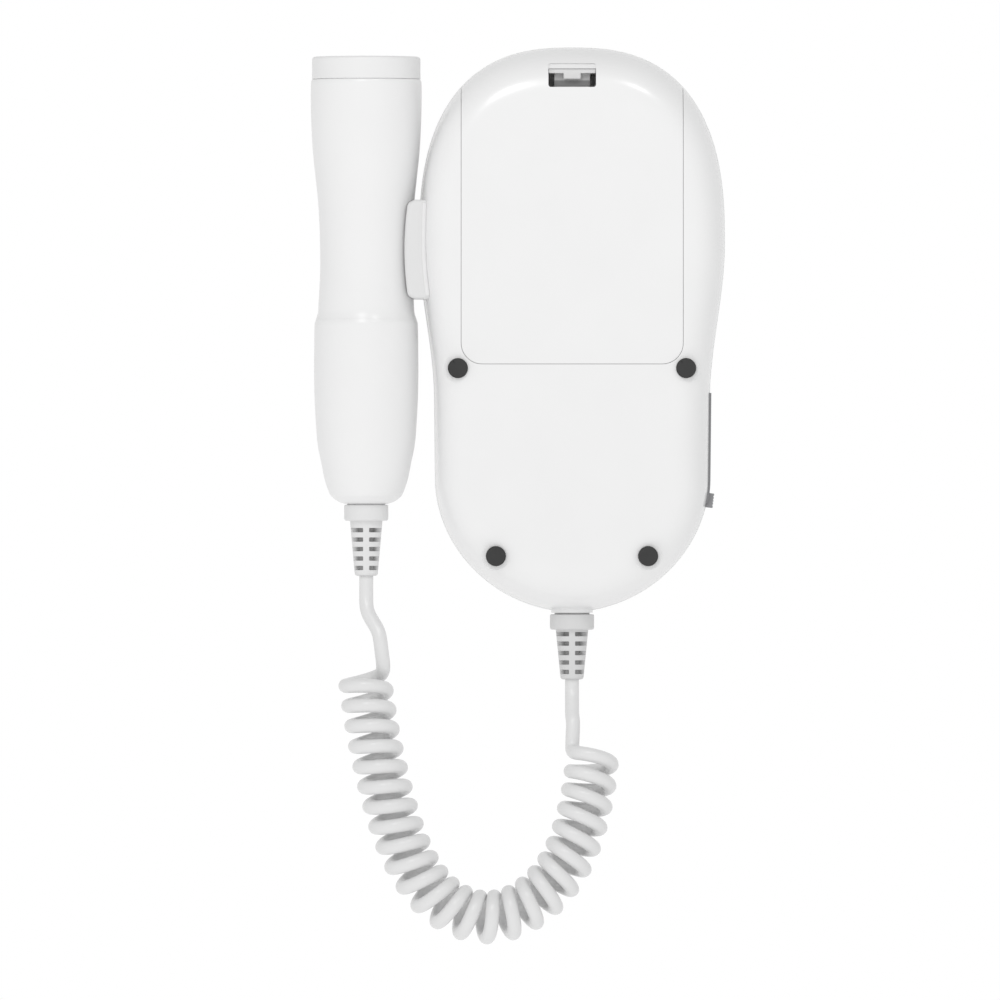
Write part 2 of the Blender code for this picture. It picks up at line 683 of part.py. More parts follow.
def battery_cover():
    white = white_plastic("cover_white")
    cover = half_case("battery_cover", 0.0, True, GAP / 2, white)
    cover = cut(cover, half_case("cover_hollow", COVER_THICKNESS, True, -CUT_OVERRUN))
    cover = keep(cover, cover_prism("cover_edge", -GAP / 2, PART_Z))
    inner_z = BACK_Z + COVER_THICKNESS
    low_y = COVER_Y + RAIL_START
    for sign in (-1, 1):
        edge = RAIL_HALF_GAUGE - RAIL_LEG
        foot_z = inner_z + 2 * GAP + LEDGE_THICKNESS
        x_low, x_high = sorted((BODY_X + sign * edge, BODY_X + sign * RAIL_HALF_GAUGE))
        leg = box("rail_leg", (x_low, low_y, BACK_Z + COVER_THICKNESS / 2),
                  (x_high, low_y + RAIL_LENGTH, foot_z + RAIL_LEG))
        x_low, x_high = sorted((BODY_X + sign * edge, BODY_X + sign * (RAIL_HALF_GAUGE + RAIL_FOOT)))
        foot = box("rail_foot", (x_low, low_y, foot_z), (x_high, low_y + RAIL_LENGTH, foot_z + RAIL_LEG))
        cover = join(cover, join(leg, foot))
    lip_end = WINDOW_START + LIP_LENGTH
    window = box("window", (BODY_X - WINDOW_HALF_WIDTH, TOP_Y - WINDOW_END, -CUT_OVERRUN),
                 (BODY_X + WINDOW_HALF_WIDTH, TOP_Y - lip_end, PART_Z - CUT_OVERRUN))
    lip = box("lip", (BODY_X - WINDOW_HALF_WIDTH, TOP_Y - lip_end - GAP, -CUT_OVERRUN),
              (BODY_X + WINDOW_HALF_WIDTH, TOP_Y - WINDOW_START, BACK_Z + LIP_DEPTH))
    cover = cut(cover, window)
    return set_origin(smooth(cut(cover, lip)), (BODY_X, COVER_Y, BACK_Z))


def latch_box(name, half, start, end, low, high, surface=None):
    """A block of the latch; start and end are distances below the case's top end."""
    return box(name, (BODY_X - half, TOP_Y - end, BACK_Z + low), (BODY_X + half, TOP_Y - start, BACK_Z + high),
               surface)


def cover_latch():
    """A sprung U: the finger bar near the skin, the front leg, the web and the rear leg."""
    start = LATCH_BAR_START
    leg_end = start + LATCH_THICKNESS
    web_end = start + LATCH_WEB_LENGTH
    web_low = LATCH_WEB_DEPTH + LATCH_THICKNESS
    latch = latch_box("cover_latch", LATCH_BAR_WIDTH / 2, start, start + LATCH_BAR_LENGTH,
                      LATCH_BAR_DEPTH, LATCH_BAR_DEPTH + LATCH_THICKNESS, white_plastic("latch_white"))
    pad = latch_box("pad", LATCH_PAD_WIDTH / 2, start, start + LATCH_PAD_LENGTH,
                    LATCH_BAR_DEPTH, LATCH_BAR_DEPTH + LATCH_THICKNESS)
    leg = latch_box("front_leg", LATCH_LEG_WIDTH / 2, start, leg_end, LATCH_BAR_DEPTH, web_low)
    web = latch_box("web", LATCH_LEG_WIDTH / 2, start, web_end, LATCH_WEB_DEPTH, web_low)
    rear_low = COVER_THICKNESS + LATCH_TRAVEL + 2 * GAP
    rear = latch_box("rear_leg", LATCH_LEG_WIDTH / 2, web_end - LATCH_THICKNESS, web_end, rear_low, web_low)
    for piece in (pad, leg, web, rear):
        latch = join(latch, piece)
    return set_origin(smooth(latch), (BODY_X, TOP_Y - LATCH_BAR_START, BACK_Z + LATCH_BAR_DEPTH))


def battery_cells():
    """Three cells side by side, the middle one the other way round."""
    white = material("cell_jacket", (0.20, 0.22, 0.25), 0.35)
    radius = CELL_RADIUS - GAP / 2
    for index, name in enumerate(("left", "middle", "right")):
        x = BODY_X + (1 - index) * CELL_SPACING
        down = index == 1
        profile = [(radius - GAP, 0.0), (radius, GAP), (radius, CELL_LENGTH - GAP), (radius - GAP, CELL_LENGTH),
                   (CELL_NUB_RADIUS, CELL_LENGTH), (CELL_NUB_RADIUS, CELL_LENGTH + CELL_NUB_LENGTH)]
        start = PLATE_FACE_Y + (GAP if down else BAY_SPRING_ROOM)
        if down:
            whole = CELL_LENGTH + CELL_NUB_LENGTH
            profile = [(r, whole - height) for r, height in reversed(profile)]
        smooth(turned(f"battery_cell_{name}", profile, SMALL_SIDES, (x, start, CELL_Z), "Y", white))


def spring_points(root_y, tip_y, x):
    """A conical spring's centre line from its root to its tip."""
    points = []
    per_turn = 8
    for step in range(SPRING_TURNS * per_turn + 1):
        share = step / (SPRING_TURNS * per_turn)
        radius = SPRING_ROOT_RADIUS + (SPRING_TIP_RADIUS - SPRING_ROOT_RADIUS) * share
        turn = 2 * math.pi * SPRING_TURNS * share
        rise = min(1.0, max(0.0, (share * SPRING_TURNS - 0.5) / (SPRING_TURNS - 1)))
        points.append(Vector((x + radius * math.cos(turn), root_y + (tip_y - root_y) * rise,
                              CELL_Z + radius * math.sin(turn))))
    return points


def tube(name, points, radius, sides_level, surface=None):
    """A closed round tube along points, as a mesh."""
    curve = bpy.data.curves.new(name, "CURVE")
    curve.dimensions = "3D"
    curve.bevel_depth = radius
    curve.bevel_resolution = sides_level
    curve.use_fill_caps = True
    spline = curve.splines.new("POLY")
    spline.points.add(len(points) - 1)
    for knot, point in zip(spline.points, points):
        knot.co = (*point, 1.0)
    if surface:
        curve.materials.append(surface)
    made = bpy.data.objects.new(name, curve)
    bpy.context.scene.collection.objects.link(made)
    return made


def battery_springs():
    """A negative spring for each cell."""
    steel = metal("spring_steel")
    clear = SPRING_WIRE_RADIUS + GAP
    for index, name in enumerate(("left", "middle", "right")):
        x = BODY_X + (1 - index) * CELL_SPACING
        if index == 1:
            root = FAR_PLATE_FACE_Y - clear
            tip = FAR_PLATE_FACE_Y - BAY_SPRING_ROOM + clear
        else:
            root = PLATE_FACE_Y + clear
            tip = PLATE_FACE_Y + BAY_SPRING_ROOM - clear
        tube(f"battery_spring_{name}", spring_points(root, tip, x), SPRING_WIRE_RADIUS, 0, steel)


def battery_plates():
    """A contact plate behind each cell end."""
    half = PLATE_WIDTH / 2
    steel = metal("plate_steel")
    ends = (("lower", PLATE_FACE_Y - PLATE_THICKNESS), ("upper", FAR_PLATE_FACE_Y))
    for index, name in enumerate(("left", "middle", "right")):
        x = BODY_X + (1 - index) * CELL_SPACING
        for end, low in ends:
            box(f"battery_plate_{end}_{name}", (x - half, low, CELL_Z - half),
                (x + half, low + PLATE_THICKNESS, CELL_Z + half), steel)


def main_board():
    green = material("board_green", (0.05, 0.22, 0.10), 0.5)
    high = TOP_Y - BOARD_TOP_DROP
    board = box("main_board", (BODY_X - BOARD_WIDTH / 2, high - BOARD_LENGTH, BOARD_Z),
                (BODY_X + BOARD_WIDTH / 2, high, BOARD_TOP_Z), green)
    return smooth(board)


def display_module():
    """The display in its frame, on four legs above the board."""
    dark = material("display_frame", (0.08, 0.08, 0.09), 0.4)
    high = FRONT_INNER_Z - GAP
    low = high - DISPLAY_THICKNESS
    half_x = DISPLAY_WIDTH / 2
    half_y = DISPLAY_LENGTH / 2
    middle = TOP_Y - DISPLAY_DROP
    frame = box("display_module", (BODY_X - half_x, middle - half_y, low), (BODY_X + half_x, middle + half_y, high),
                dark)
    leg = DISPLAY_THICKNESS / 4
    for x_sign in (-1, 1):
        for y_sign in (-1, 1):
            x = BODY_X + x_sign * (half_x - 2 * leg)
            y = middle + y_sign * (half_y - 2 * leg)
            frame = join(frame, cylinder("leg", leg, x, y, BOARD_TOP_Z + GAP, low + leg, LEG_SIDES))
    return smooth(frame)


def display_window():
    glass = material("window_clear", (0.55, 0.60, 0.62), 0.1, 0.0, 0.6)
    smooth(lens_plan("display_window", -GAP / 2, FRONT_Z - LENS_THICKNESS, FRONT_Z, glass))


def buttons():
    """Two push buttons with a flange behind the shell and a stem over their switch."""
    grey = grey_plastic("button_grey")
    flange_top = FRONT_INNER_Z - GAP
    stem_low = BOARD_TOP_Z + GAP + SWITCH_HEIGHT + GAP + BUTTON_TRAVEL
    for name, sign in (("power_button", 1), ("mode_button", -1)):
        profile = [(BUTTON_STEM_RADIUS, stem_low), (BUTTON_STEM_RADIUS, flange_top - BUTTON_FLANGE),
                   (BUTTON_RADIUS + BUTTON_FLANGE, flange_top - BUTTON_FLANGE),
                   (BUTTON_RADIUS + BUTTON_FLANGE, flange_top), (BUTTON_RADIUS, flange_top),
                   (BUTTON_RADIUS, FRONT_Z + BUTTON_PROUD - GAP), (BUTTON_RADIUS - GAP, FRONT_Z + BUTTON_PROUD)]
        button = smooth(turned(name, profile, BUTTON_SIDES, (0.0, 0.0, 0.0), "Z", grey))
        button.location = (BODY_X + sign * BUTTON_OFFSET, TOP_Y - BUTTON_DROP, 0.0)


def button_switches():
    """A small switch on the board under each button."""
    half = SWITCH_WIDTH / 2
    y = TOP_Y - BUTTON_DROP
    low = BOARD_TOP_Z + GAP
    black = material("switch_black", (0.06, 0.06, 0.06), 0.5)
    for name, sign in (("power_switch", 1), ("mode_switch", -1)):
        x = BODY_X + sign * BUTTON_OFFSET
        body_high = low + SWITCH_HEIGHT - BUTTON_TRAVEL
        body = box(name, (x - half, y - half, low), (x + half, y + half, body_high), black)
        smooth(join(body, cylinder("plunger", BUTTON_STEM_RADIUS, x, y, body_high - GAP, low + SWITCH_HEIGHT)))


def speaker():
    """A round speaker, its rim against the grille and its magnet behind."""
    high = FRONT_INNER_Z - GAP
    low = high - SPEAKER_DEPTH
    magnet = SPEAKER_RADIUS / 2
    profile = [(magnet, low), (magnet, low + SPEAKER_DEPTH / 2), (SPEAKER_RADIUS, high - SPEAKER_DEPTH / 4),
               (SPEAKER_RADIUS, high)]
    place = (BODY_X, TOP_Y - SPEAKER_DROP, 0.0)
    smooth(turned("speaker", profile, ROUND_SIDES, place, "Z", material("speaker_black", (0.07, 0.07, 0.07), 0.6)))


def side_panel():
    """The grey strip on the -X side, open at its lower end for the slider."""
    panel = band("side_panel", PANEL_PROUD, PANEL_THICKNESS - PANEL_PROUD, PANEL_TOP_DROP,
                 PANEL_TOP_DROP + PANEL_LENGTH, PANEL_WIDTH / 2)
    panel.data.materials.append(grey_plastic("panel_grey"))
    slot = band("panel_slot", CUT_OVERRUN, PANEL_THICKNESS + CUT_OVERRUN,
                KNOB_DROP - SLIDER_TRAVEL - KNOB_LENGTH / 2 - GAP,
                PANEL_TOP_DROP + PANEL_LENGTH + CUT_OVERRUN, KNOB_WIDTH / 2 + GAP)
    panel = cut(panel, slot)
    y, x = socket_place()
    bore = turned("socket_bore", [(SOCKET_RADIUS + GAP, x - CUT_OVERRUN), (SOCKET_RADIUS + GAP, x + SOCKET_LENGTH)],
                  SMALL_SIDES, (0.0, y, PART_Z), "X")
    return smooth(cut(panel, bore))


def knob_place():
    """The slider knob's centre at rest, at the low end of its travel."""
    return Vector((BODY_X - half_width(KNOB_DROP), TOP_Y - KNOB_DROP, PART_Z))


def volume_knob():
    out = KNOB_PROUD
    half = KNOB_LENGTH / 2
    knob = box("volume_knob", (-out, -half, -KNOB_WIDTH / 2), (KNOB_HEIGHT - out, half, KNOB_WIDTH / 2),
               grey_plastic("knob_grey"))
    stem_reach = WALL + PARTING_STEP + POT_CLEARANCE - 2 * GAP
    stem = box("knob_stem", (0.0, -half / 2, -KNOB_STEM / 2), (stem_reach, half / 2, KNOB_STEM / 2))
    knob = join(knob, stem)
    for step in (-1, 0, 1):
        y = step * KNOB_LENGTH / 4
        groove = box("groove", (-out - GAP, y - GAP / 2, -KNOB_WIDTH), (-out + GAP / 2, y + GAP / 2, KNOB_WIDTH))
        knob = cut(knob, groove)
    knob.data.transform(Matrix.Rotation(KNOB_TILT, 4, "Z"))
    knob.location = knob_place()
    return smooth(knob)


def volume_slider_pot():
    """The slide potentiometer behind the panel, with a slot for the knob's stem."""
    rest = knob_place()
    near = rest.x + WALL + PARTING_STEP + POT_CLEARANCE
    middle = rest.y + SLIDER_TRAVEL / 2
    body = box("volume_slider_pot", (near, middle - POT_LENGTH / 2, PART_Z - POT_WIDTH / 2),
               (near + POT_DEPTH, middle + POT_LENGTH / 2, PART_Z + POT_WIDTH / 2),
               metal("pot_steel"))
    return smooth(body)


def headphone_jack():
    y, x = socket_place()
    inner = [(SOCKET_RADIUS, x + GAP), (SOCKET_RADIUS, x + SOCKET_LENGTH),
             (SOCKET_BORE_RADIUS / 2, x + SOCKET_LENGTH), (SOCKET_BORE_RADIUS / 2, x + SOCKET_LENGTH - WALL),
             (SOCKET_BORE_RADIUS, x + SOCKET_LENGTH - WALL), (SOCKET_BORE_RADIUS, x + GAP)]
    rings = [ring_about(radius, height, SMALL_SIDES) for radius, height in inner]
    mesh = mesh_from("headphone_jack", rings, False)
    mesh.transform(Matrix.Rotation(math.radians(90.0), 4, "Y"))
    mesh.transform(Matrix.Translation((0.0, y, PART_Z)))
    smooth(object_from("headphone_jack", mesh, material("jack_black", (0.05, 0.05, 0.05), 0.4)))


def rubber_feet():
    rubber = material("foot_rubber", (0.055, 0.055, 0.055), 0.75)
    bevel = GAP
    for name, x, y in foot_places():
        high = BACK_Z + FOOT_SEAT - GAP
        profile = [(FOOT_RADIUS - bevel, 0.0), (FOOT_RADIUS, bevel), (FOOT_RADIUS, high)]
        smooth(turned(f"rubber_foot_{name}", profile, SMALL_SIDES, (x, y, 0.0), "Z", rubber))


def case_screws():
    """One screw behind each foot."""
    steel = metal("screw_steel")
    for name, x, y in foot_places():
        low = BACK_Z + FOOT_SEAT + GAP / 2
        high = low + SCREW_HEAD_LENGTH
        profile = [(SCREW_HEAD_RADIUS, low), (SCREW_HEAD_RADIUS, high), (SCREW_SHANK_RADIUS, high),
                   (SCREW_SHANK_RADIUS, high + SCREW_SHANK_LENGTH)]
        smooth(turned(f"case_screw_{name}", profile, LEG_SIDES, (x, y, 0.0), "Z", steel))


PROBE_PROFILE_SHARES = ((0.0, 0.973), (0.046, 0.973), (0.051, 0.993), (0.10, 0.996), (0.157, 0.984), (0.21, 0.960),
                        (0.263, 0.917), (0.318, 0.870), (0.371, 0.843), (0.43, 0.828), (0.489, 0.830), (0.551, 0.857),
                        (0.573, 0.868), (0.590, 0.910), (0.604, 0.929), (0.658, 0.935), (0.712, 0.937),
                        (0.766, 0.928), (0.838, 0.896), (0.874, 0.865), (0.910, 0.805), (0.946, 0.747),
                        (0.982, 0.635), (1.0, 0.560))


def probe_radius(share):
    """The probe's radius at a share of its length from the face."""
    rows = PROBE_PROFILE_SHARES
    for before, after in zip(rows, rows[1:]):
        if share <= after[0]:
            part = (share - before[0]) / (after[0] - before[0])
            return PROBE_RADIUS * (before[1] + (after[1] - before[1]) * part)
    return PROBE_RADIUS * rows[-1][1]


def probe_stretch(low_drop, high_drop, grow=0.0):
    """(radius, height) pairs up +Y between two distances below the probe's face."""
    shares = [low_drop / PROBE_LENGTH] + [row[0] for row in PROBE_PROFILE_SHARES
                                          if low_drop < row[0] * PROBE_LENGTH < high_drop]
    shares.append(high_drop / PROBE_LENGTH)
    pairs = [(probe_radius(share) + grow, PROBE_TOP_Y - share * PROBE_LENGTH) for share in shares]
    return pairs[::-1]


def bore_rows(outer):
    """The wall's inner side, with fewer rows than its outer side."""
    chosen = outer[::3]
    if chosen[-1] != outer[-1]:
        chosen.append(outer[-1])
    return [(radius - PROBE_WALL, height) for radius, height in chosen]


def probe_shells():
    """The probe's barrel and its grip, which meet at the step below the waist."""
    centre = (PROBE_X, 0.0, PART_Z)
    white = white_plastic("probe_white")
    outer = probe_stretch(PROBE_CAP_LENGTH + GAP / 2, PROBE_JOINT_DROP - GAP / 2)
    inner = bore_rows(outer)
    smooth(hollow_turned("probe_barrel", outer + inner[::-1], ROUND_SIDES, centre, "Y", white))
    outer = probe_stretch(PROBE_JOINT_DROP + GAP / 2, PROBE_LENGTH)
    end = PROBE_END_Y + PROBE_WALL
    hole = RELIEF_NECK_RADIUS + GAP
    inner = bore_rows([row for row in outer if row[1] > end + PROBE_WALL])
    inner = [(hole, PROBE_END_Y), (hole, end), (inner[0][0] - PROBE_WALL, end)] + inner
    smooth(hollow_turned("probe_grip", outer + inner[::-1], ROUND_SIDES, centre, "Y",
                         white_plastic("grip_white")))


def probe_face_cap():
    """The acoustic face: a shallow cup over the crystals."""
    centre = (PROBE_X, 0.0, PART_Z)
    outer = probe_stretch(0.0, PROBE_CAP_LENGTH - GAP / 2)
    radius = outer[0][0]
    low = outer[0][1]
    high = PROBE_TOP_Y
    profile = [(radius - PROBE_WALL, low), (radius, low), (radius, high - 2 * GAP), (radius - 2 * GAP, high)]
    cap = turned("probe_face_cap", profile, ROUND_SIDES, centre, "Y", white_plastic("cap_white"))
    recess = y_cylinder("cap_recess", radius - PROBE_WALL, PROBE_X, PART_Z, low - GAP, high - PROBE_WALL, ROUND_SIDES)
    return smooth(cut(cap, recess))


def probe_insides():
    """Two half-round crystals behind the face, their backing and the probe's own board."""
    face = PROBE_TOP_Y - PROBE_WALL - GAP
    low = face - CRYSTAL_THICKNESS
    ceramic = material("crystal_ceramic", (0.55, 0.50, 0.42), 0.5)
    for name, sign in (("left", 1), ("right", -1)):
        disc = y_cylinder(f"crystal_{name}", CRYSTAL_RADIUS, PROBE_X, PART_Z, low, face, ROUND_SIDES, ceramic)
        x_low, x_high = sorted((PROBE_X + sign * GAP, PROBE_X + sign * PROBE_RADIUS))
        half = box("crystal_half", (x_low, low - GAP, PART_Z - PROBE_RADIUS), (x_high, face + GAP,
                                                                           PART_Z + PROBE_RADIUS))
        smooth(keep(disc, half))
    high = low - GAP
    rim = probe_radius(PROBE_CAP_LENGTH / PROBE_LENGTH) - PROBE_WALL - 2 * GAP
    backing = y_cylinder("probe_backing", rim, PROBE_X, PART_Z, high - BACKING_LENGTH, high, ROUND_SIDES,
                         material("backing_grey", (0.30, 0.30, 0.31), 0.7))
    smooth(backing)
    top = high - BACKING_LENGTH - GAP
    box("probe_board", (PROBE_X - PROBE_BOARD_WIDTH / 2, top - PROBE_BOARD_LENGTH, PART_Z - BOARD_THICKNESS / 2),
        (PROBE_X + PROBE_BOARD_WIDTH / 2, top, PART_Z + BOARD_THICKNESS / 2),
        material("probe_board_green", (0.05, 0.22, 0.10), 0.5))


def probe_cradle():
    """The side clip: a block hollowed to the probe's waist, with a tongue between the shells."""
    low = TOP_Y - CRADLE_DROP - CRADLE_LENGTH
    high = TOP_Y - CRADLE_DROP
    middle = (low + high) / 2
    inner_x = BODY_X + BODY_HALF_WIDTH - CRADLE_TONGUE
    tip_x = BODY_X + CRADLE_REACH
    steps = 8
    plan = [(inner_x, high), (inner_x, low), (tip_x - CRADLE_CORNER, low)]
    for step in range(steps + 1):
        share = 2 * step / steps - 1
        plan.append((tip_x - CRADLE_TIP_LOSS * share ** 2, middle + share * (CRADLE_LENGTH / 2 - CRADLE_EDGE)))
    plan.append((tip_x - CRADLE_CORNER, high))
    cradle = plan_prism("probe_cradle", plan, PART_Z - CRADLE_HALF_HEIGHT, PART_Z + CRADLE_HALF_HEIGHT,
                        white_plastic("cradle_white"))
    hollow = turned("cradle_hollow", probe_stretch(CRADLE_DROP - PROBE_TOP_DROP - CRADLE_EDGE * 4,
                                                   CRADLE_DROP + CRADLE_LENGTH + CRADLE_EDGE * 4,
                                                   CRADLE_CLEARANCE),
                    2 * ROUND_SIDES, (PROBE_X, 0.0, PART_Z), "Y")
    cradle = cut(cradle, hollow)
    for back in (True, False):
        cradle = cut(cradle, half_case("cradle_seat", -GAP, back, -GAP))
    reach = CRADLE_TONGUE_LENGTH / 2
    height = CRADLE_TONGUE_THICKNESS / 2
    side = BODY_X + BODY_HALF_WIDTH
    tongue = box("tongue", (side - CRADLE_TONGUE, middle - reach, PART_Z - height),
                 (side + CRADLE_EDGE, middle + reach, PART_Z + height))
    return smooth(join(cradle, tongue))


def strain_relief(name, x, end_y, standoff, collar_length, taper_length):
    """A moulded relief: flange and neck in the housing, a collar, then a slotted taper."""
    face = end_y - standoff
    tip = face - collar_length - taper_length
    root = face - collar_length
    flange = face + RELIEF_NECK_LENGTH
    profile = [(RELIEF_TIP_RADIUS, tip), (RELIEF_ROOT_RADIUS, root),
               (COLLAR_RADIUS - COLLAR_CHAMFER, root), (COLLAR_RADIUS, root + COLLAR_CHAMFER),
               (COLLAR_RADIUS, face), (RELIEF_NECK_RADIUS, face), (RELIEF_NECK_RADIUS, flange),
               (COLLAR_RADIUS, flange), (COLLAR_RADIUS, flange + RELIEF_FLANGE_LENGTH)]
    relief = turned(name, profile, SMALL_SIDES, (x, 0.0, PART_Z), "Y",
                    material(f"{name}_rubber", (0.80, 0.80, 0.80), 0.55))
    half_rib = RELIEF_RIB_WIDTH / 2
    reach = COLLAR_RADIUS + GAP
    for row in range(RELIEF_SLOT_ROWS):
        high = root - RELIEF_SLOT_START - row * RELIEF_SLOT_PITCH
        low = high - RELIEF_SLOT_HEIGHT
        for x_sign in (-1, 1):
            for z_sign in (-1, 1):
                x_low, x_high = sorted((x + x_sign * half_rib, x + x_sign * reach))
                z_low, z_high = sorted((PART_Z + z_sign * half_rib, PART_Z + z_sign * reach))
                relief = cut(relief, box("slot", (x_low, low, z_low), (x_high, high, z_high)))
    core = y_cylinder("core", RELIEF_CORE_RADIUS, x, PART_Z, tip + RELIEF_SLOT_HEIGHT / 4,
                      root + collar_length / 2, SMALL_SIDES)
    return smooth(join(relief, core))


# Cord: points chosen by hand along its route, in metres. The curls' route and the main lead
# start at the main relief's tip, the probe's lead at the probe relief's tip; the curls' heights
# are above the floor.
CURLS = 25
CURL_POINTS = 9
CURL_RADIUS = 0.00483
CORD_START_RUN = 0.0034
COIL_RAMP = 0.0025
COIL_AXIS_PIECES = 2400
BEND_SPAN = 30
GAP_TEST_PIECES = 1500
ROUTE_PIECES = 60
LEAD_POINTS = 18
COIL_ROUTE = ((0.04997, 0.0015, 0.0095), (0.04888, -0.006, 0.0084), (0.04757, -0.014, 0.0073),
              (0.04598, -0.022, 0.0068), (0.04398, -0.0305, 0.00675), (0.04118, -0.0392, 0.00675),
              (0.03698, -0.0476, 0.00675), (0.03048, -0.0544, 0.00675), (0.02148, -0.0578, 0.00675),
              (0.01197, -0.056, 0.00675), (0.00398, -0.05, 0.00675), (-0.00112, -0.0412, 0.0068),
              (-0.00353, -0.0318, 0.0073), (-0.00453, -0.0245, 0.0084), (-0.00482, -0.0183, 0.0095))
PROBE_LEAD_ROUTE = ((0.0, -0.00034, 0.0), (0.0, -0.00284, -0.0001), (0.0, -0.00584, -0.0007),
                    (-0.0006, -0.00884, -0.0019), (-0.0019, -0.01164, -0.0033), (-0.0033, -0.01404, -0.0043))
MAIN_LEAD_ROUTE = ((0.0, -0.0003, 0.0), (0.0, -0.0025, -0.0001), (0.0, -0.0048, -0.001),
                   (0.0, -0.007, -0.0023), (0.0, -0.0092, -0.0035))


def eased_line(points, pieces):
    """A curve with steady bends that runs near points and ends at the first and last."""
    places = [Vector(point) for point in points]
    places = [places[0] * 2 - places[1]] + places + [places[-1] * 2 - places[-2]]
    line = []
    for index in range(1, len(places) - 2):
        before, start, end, after = places[index - 1:index + 3]
        for piece in range(pieces):
            share = piece / pieces
            line.append((before * (1 - share) ** 3 + start * (3 * share ** 3 - 6 * share ** 2 + 4)
                         + end * (-3 * share ** 3 + 3 * share ** 2 + 3 * share + 1) + after * share ** 3) / 6)
    line.append(places[-2])
    return line


def smooth_line(points, pieces):
    """A smooth curve through points, with even small pieces between each pair."""
    places = [Vector(point) for point in points]
    places = [places[0] * 2 - places[1]] + places + [places[-1] * 2 - places[-2]]
    line = []
    for index in range(1, len(places) - 2):
        before, start, end, after = places[index - 1:index + 3]
        for piece in range(pieces):
            share = piece / pieces
            line.append(((start * 2) + (end - before) * share
                         + (before * 2 - start * 5 + end * 4 - after) * share ** 2
                         + (start * 3 - before - end * 3 + after) * share ** 3) / 2)
    line.append(places[-2])
    return line


def coil_line():
    """The curly cord's centre line: a left-handed helix about the route, straight at both ends."""
    route = [(BODY_X + x, MAIN_TIP_Y + y, z) for x, y, z in COIL_ROUTE]
    axis = even_points(eased_line(route, ROUTE_PIECES), COIL_AXIS_PIECES)
    whole = sum((after - before).length for before, after in zip(axis, axis[1:]))
    piece = whole / (len(axis) - 1)
    up = Vector((0.0, 0.0, 1.0))
    turns = [0.0]
    for step in range(1, len(axis)):
        along = piece * (step - 0.5)
        near_end = min(along, whole - along) / COIL_RAMP
        bend = 0.0
        if BEND_SPAN < step < COIL_AXIS_PIECES - BEND_SPAN:
            sag = axis[step + BEND_SPAN] + axis[step - BEND_SPAN] - axis[step] * 2
            bend = sag.length / (BEND_SPAN * piece) ** 2
        squeeze = 1 - bend * CURL_RADIUS
        turns.append(turns[-1] + squeeze * blend_between(0.0, 1.0, min(1.0, near_end)))
    scale = 2 * math.pi * CURLS / turns[-1]
    line = []
    for step, centre in enumerate(axis):
        along = (axis[min(step + 1, len(axis) - 1)] - axis[max(step - 1, 0)]).normalized()
        inner = along.cross(up).normalized()
        rise = inner.cross(along).normalized()
        angle = turns[step] * scale
        line.append(centre + (inner * math.cos(angle) + rise * math.sin(angle)) * CURL_RADIUS)
    first = (axis[1] - axis[0]).normalized()
    last = (axis[-1] - axis[-2]).normalized()
    spaced = even_points(line, CURLS * CURL_POINTS + 4)
    return [line[0] - first * CORD_START_RUN] + spaced + [line[-1] + last * CORD_START_RUN]


def least_gap(points):
    """The least gap between stretches of one tube that aren't neighbours along it."""
    fine = even_points(points, GAP_TEST_PIECES)
    apart = 3 * CURL_RADIUS
    reach = [0.0]
    for before, after in zip(fine, fine[1:]):
        reach.append(reach[-1] + (after - before).length)
    least = apart
    for first in range(0, len(fine), 3):
        for second in range(first + 1, len(fine)):
            if reach[second] - reach[first] > apart:
                least = min(least, (fine[first] - fine[second]).length)
                if reach[second] - reach[first] > 4 * apart:
                    break
    return least - 2 * CORD_RADIUS


def free_cord():
    grey = material("cord_white", (0.78, 0.78, 0.78), 0.45)
    coil = coil_line()
    tube("cord_curls", coil, CORD_RADIUS, 1, grey)
    start_way = (coil[1] - coil[0]).normalized()
    end_way = (coil[-1] - coil[-2]).normalized()
    start = coil[0] - start_way * GAP
    end = coil[-1] + end_way * GAP
    probe_tip = Vector((PROBE_X, PROBE_TIP_Y, PART_Z))
    main_tip = Vector((BODY_X, MAIN_TIP_Y, PART_Z))
    for name, tip, route, near, way in (("cord_lead_probe", probe_tip, PROBE_LEAD_ROUTE, start, -start_way),
                                        ("cord_lead_main", main_tip, MAIN_LEAD_ROUTE, end, end_way)):
        points = [tip + Vector(point) for point in route]
        points += [near + way * CORD_RADIUS * 2, near + way * CORD_RADIUS, near]
        tube(name, even_points(smooth_line(points, ROUTE_PIECES // 5), LEAD_POINTS), CORD_RADIUS, 2, grey)
    gap = least_gap(coil)
    print(f"Least gap of the curly cord to itself: {gap * 1000:.2f} mm")


def hang_probe():
    """Carry the probe's pieces on one empty on the probe's own axis."""
    carrier = bpy.data.objects.new("probe_axis", None)
    bpy.context.scene.collection.objects.link(carrier)
    centre = (PROBE_X, PROBE_END_Y, PART_Z)
    carrier.location = centre
    for name in PROBE_PIECES:
        piece = bpy.data.objects[name]
        set_origin(piece, centre)
        piece.location = (0.0, 0.0, 0.0)
        piece.parent = carrier


def build():
    for thing in list(bpy.data.objects):
        bpy.data.objects.remove(thing)
    rear_shell()
    front_shell()
    battery_cover()
    cover_latch()
    battery_cells()
    battery_springs()
    battery_plates()
    main_board()
    display_module()
    display_window()
    buttons()
    button_switches()
    speaker()
    side_panel()
    volume_knob()
    volume_slider_pot()
    headphone_jack()
    rubber_feet()
    case_screws()
    probe_shells()
    probe_face_cap()
    probe_insides()
    probe_cradle()
    strain_relief("main_strain_relief", BODY_X, BOTTOM_Y, MAIN_STANDOFF, MAIN_COLLAR_LENGTH, MAIN_TAPER_LENGTH)
    strain_relief("probe_strain_relief", PROBE_X, PROBE_END_Y, PROBE_STANDOFF, PROBE_COLLAR_LENGTH,
                  PROBE_TAPER_LENGTH)
    hang_probe()
    free_cord()


build()
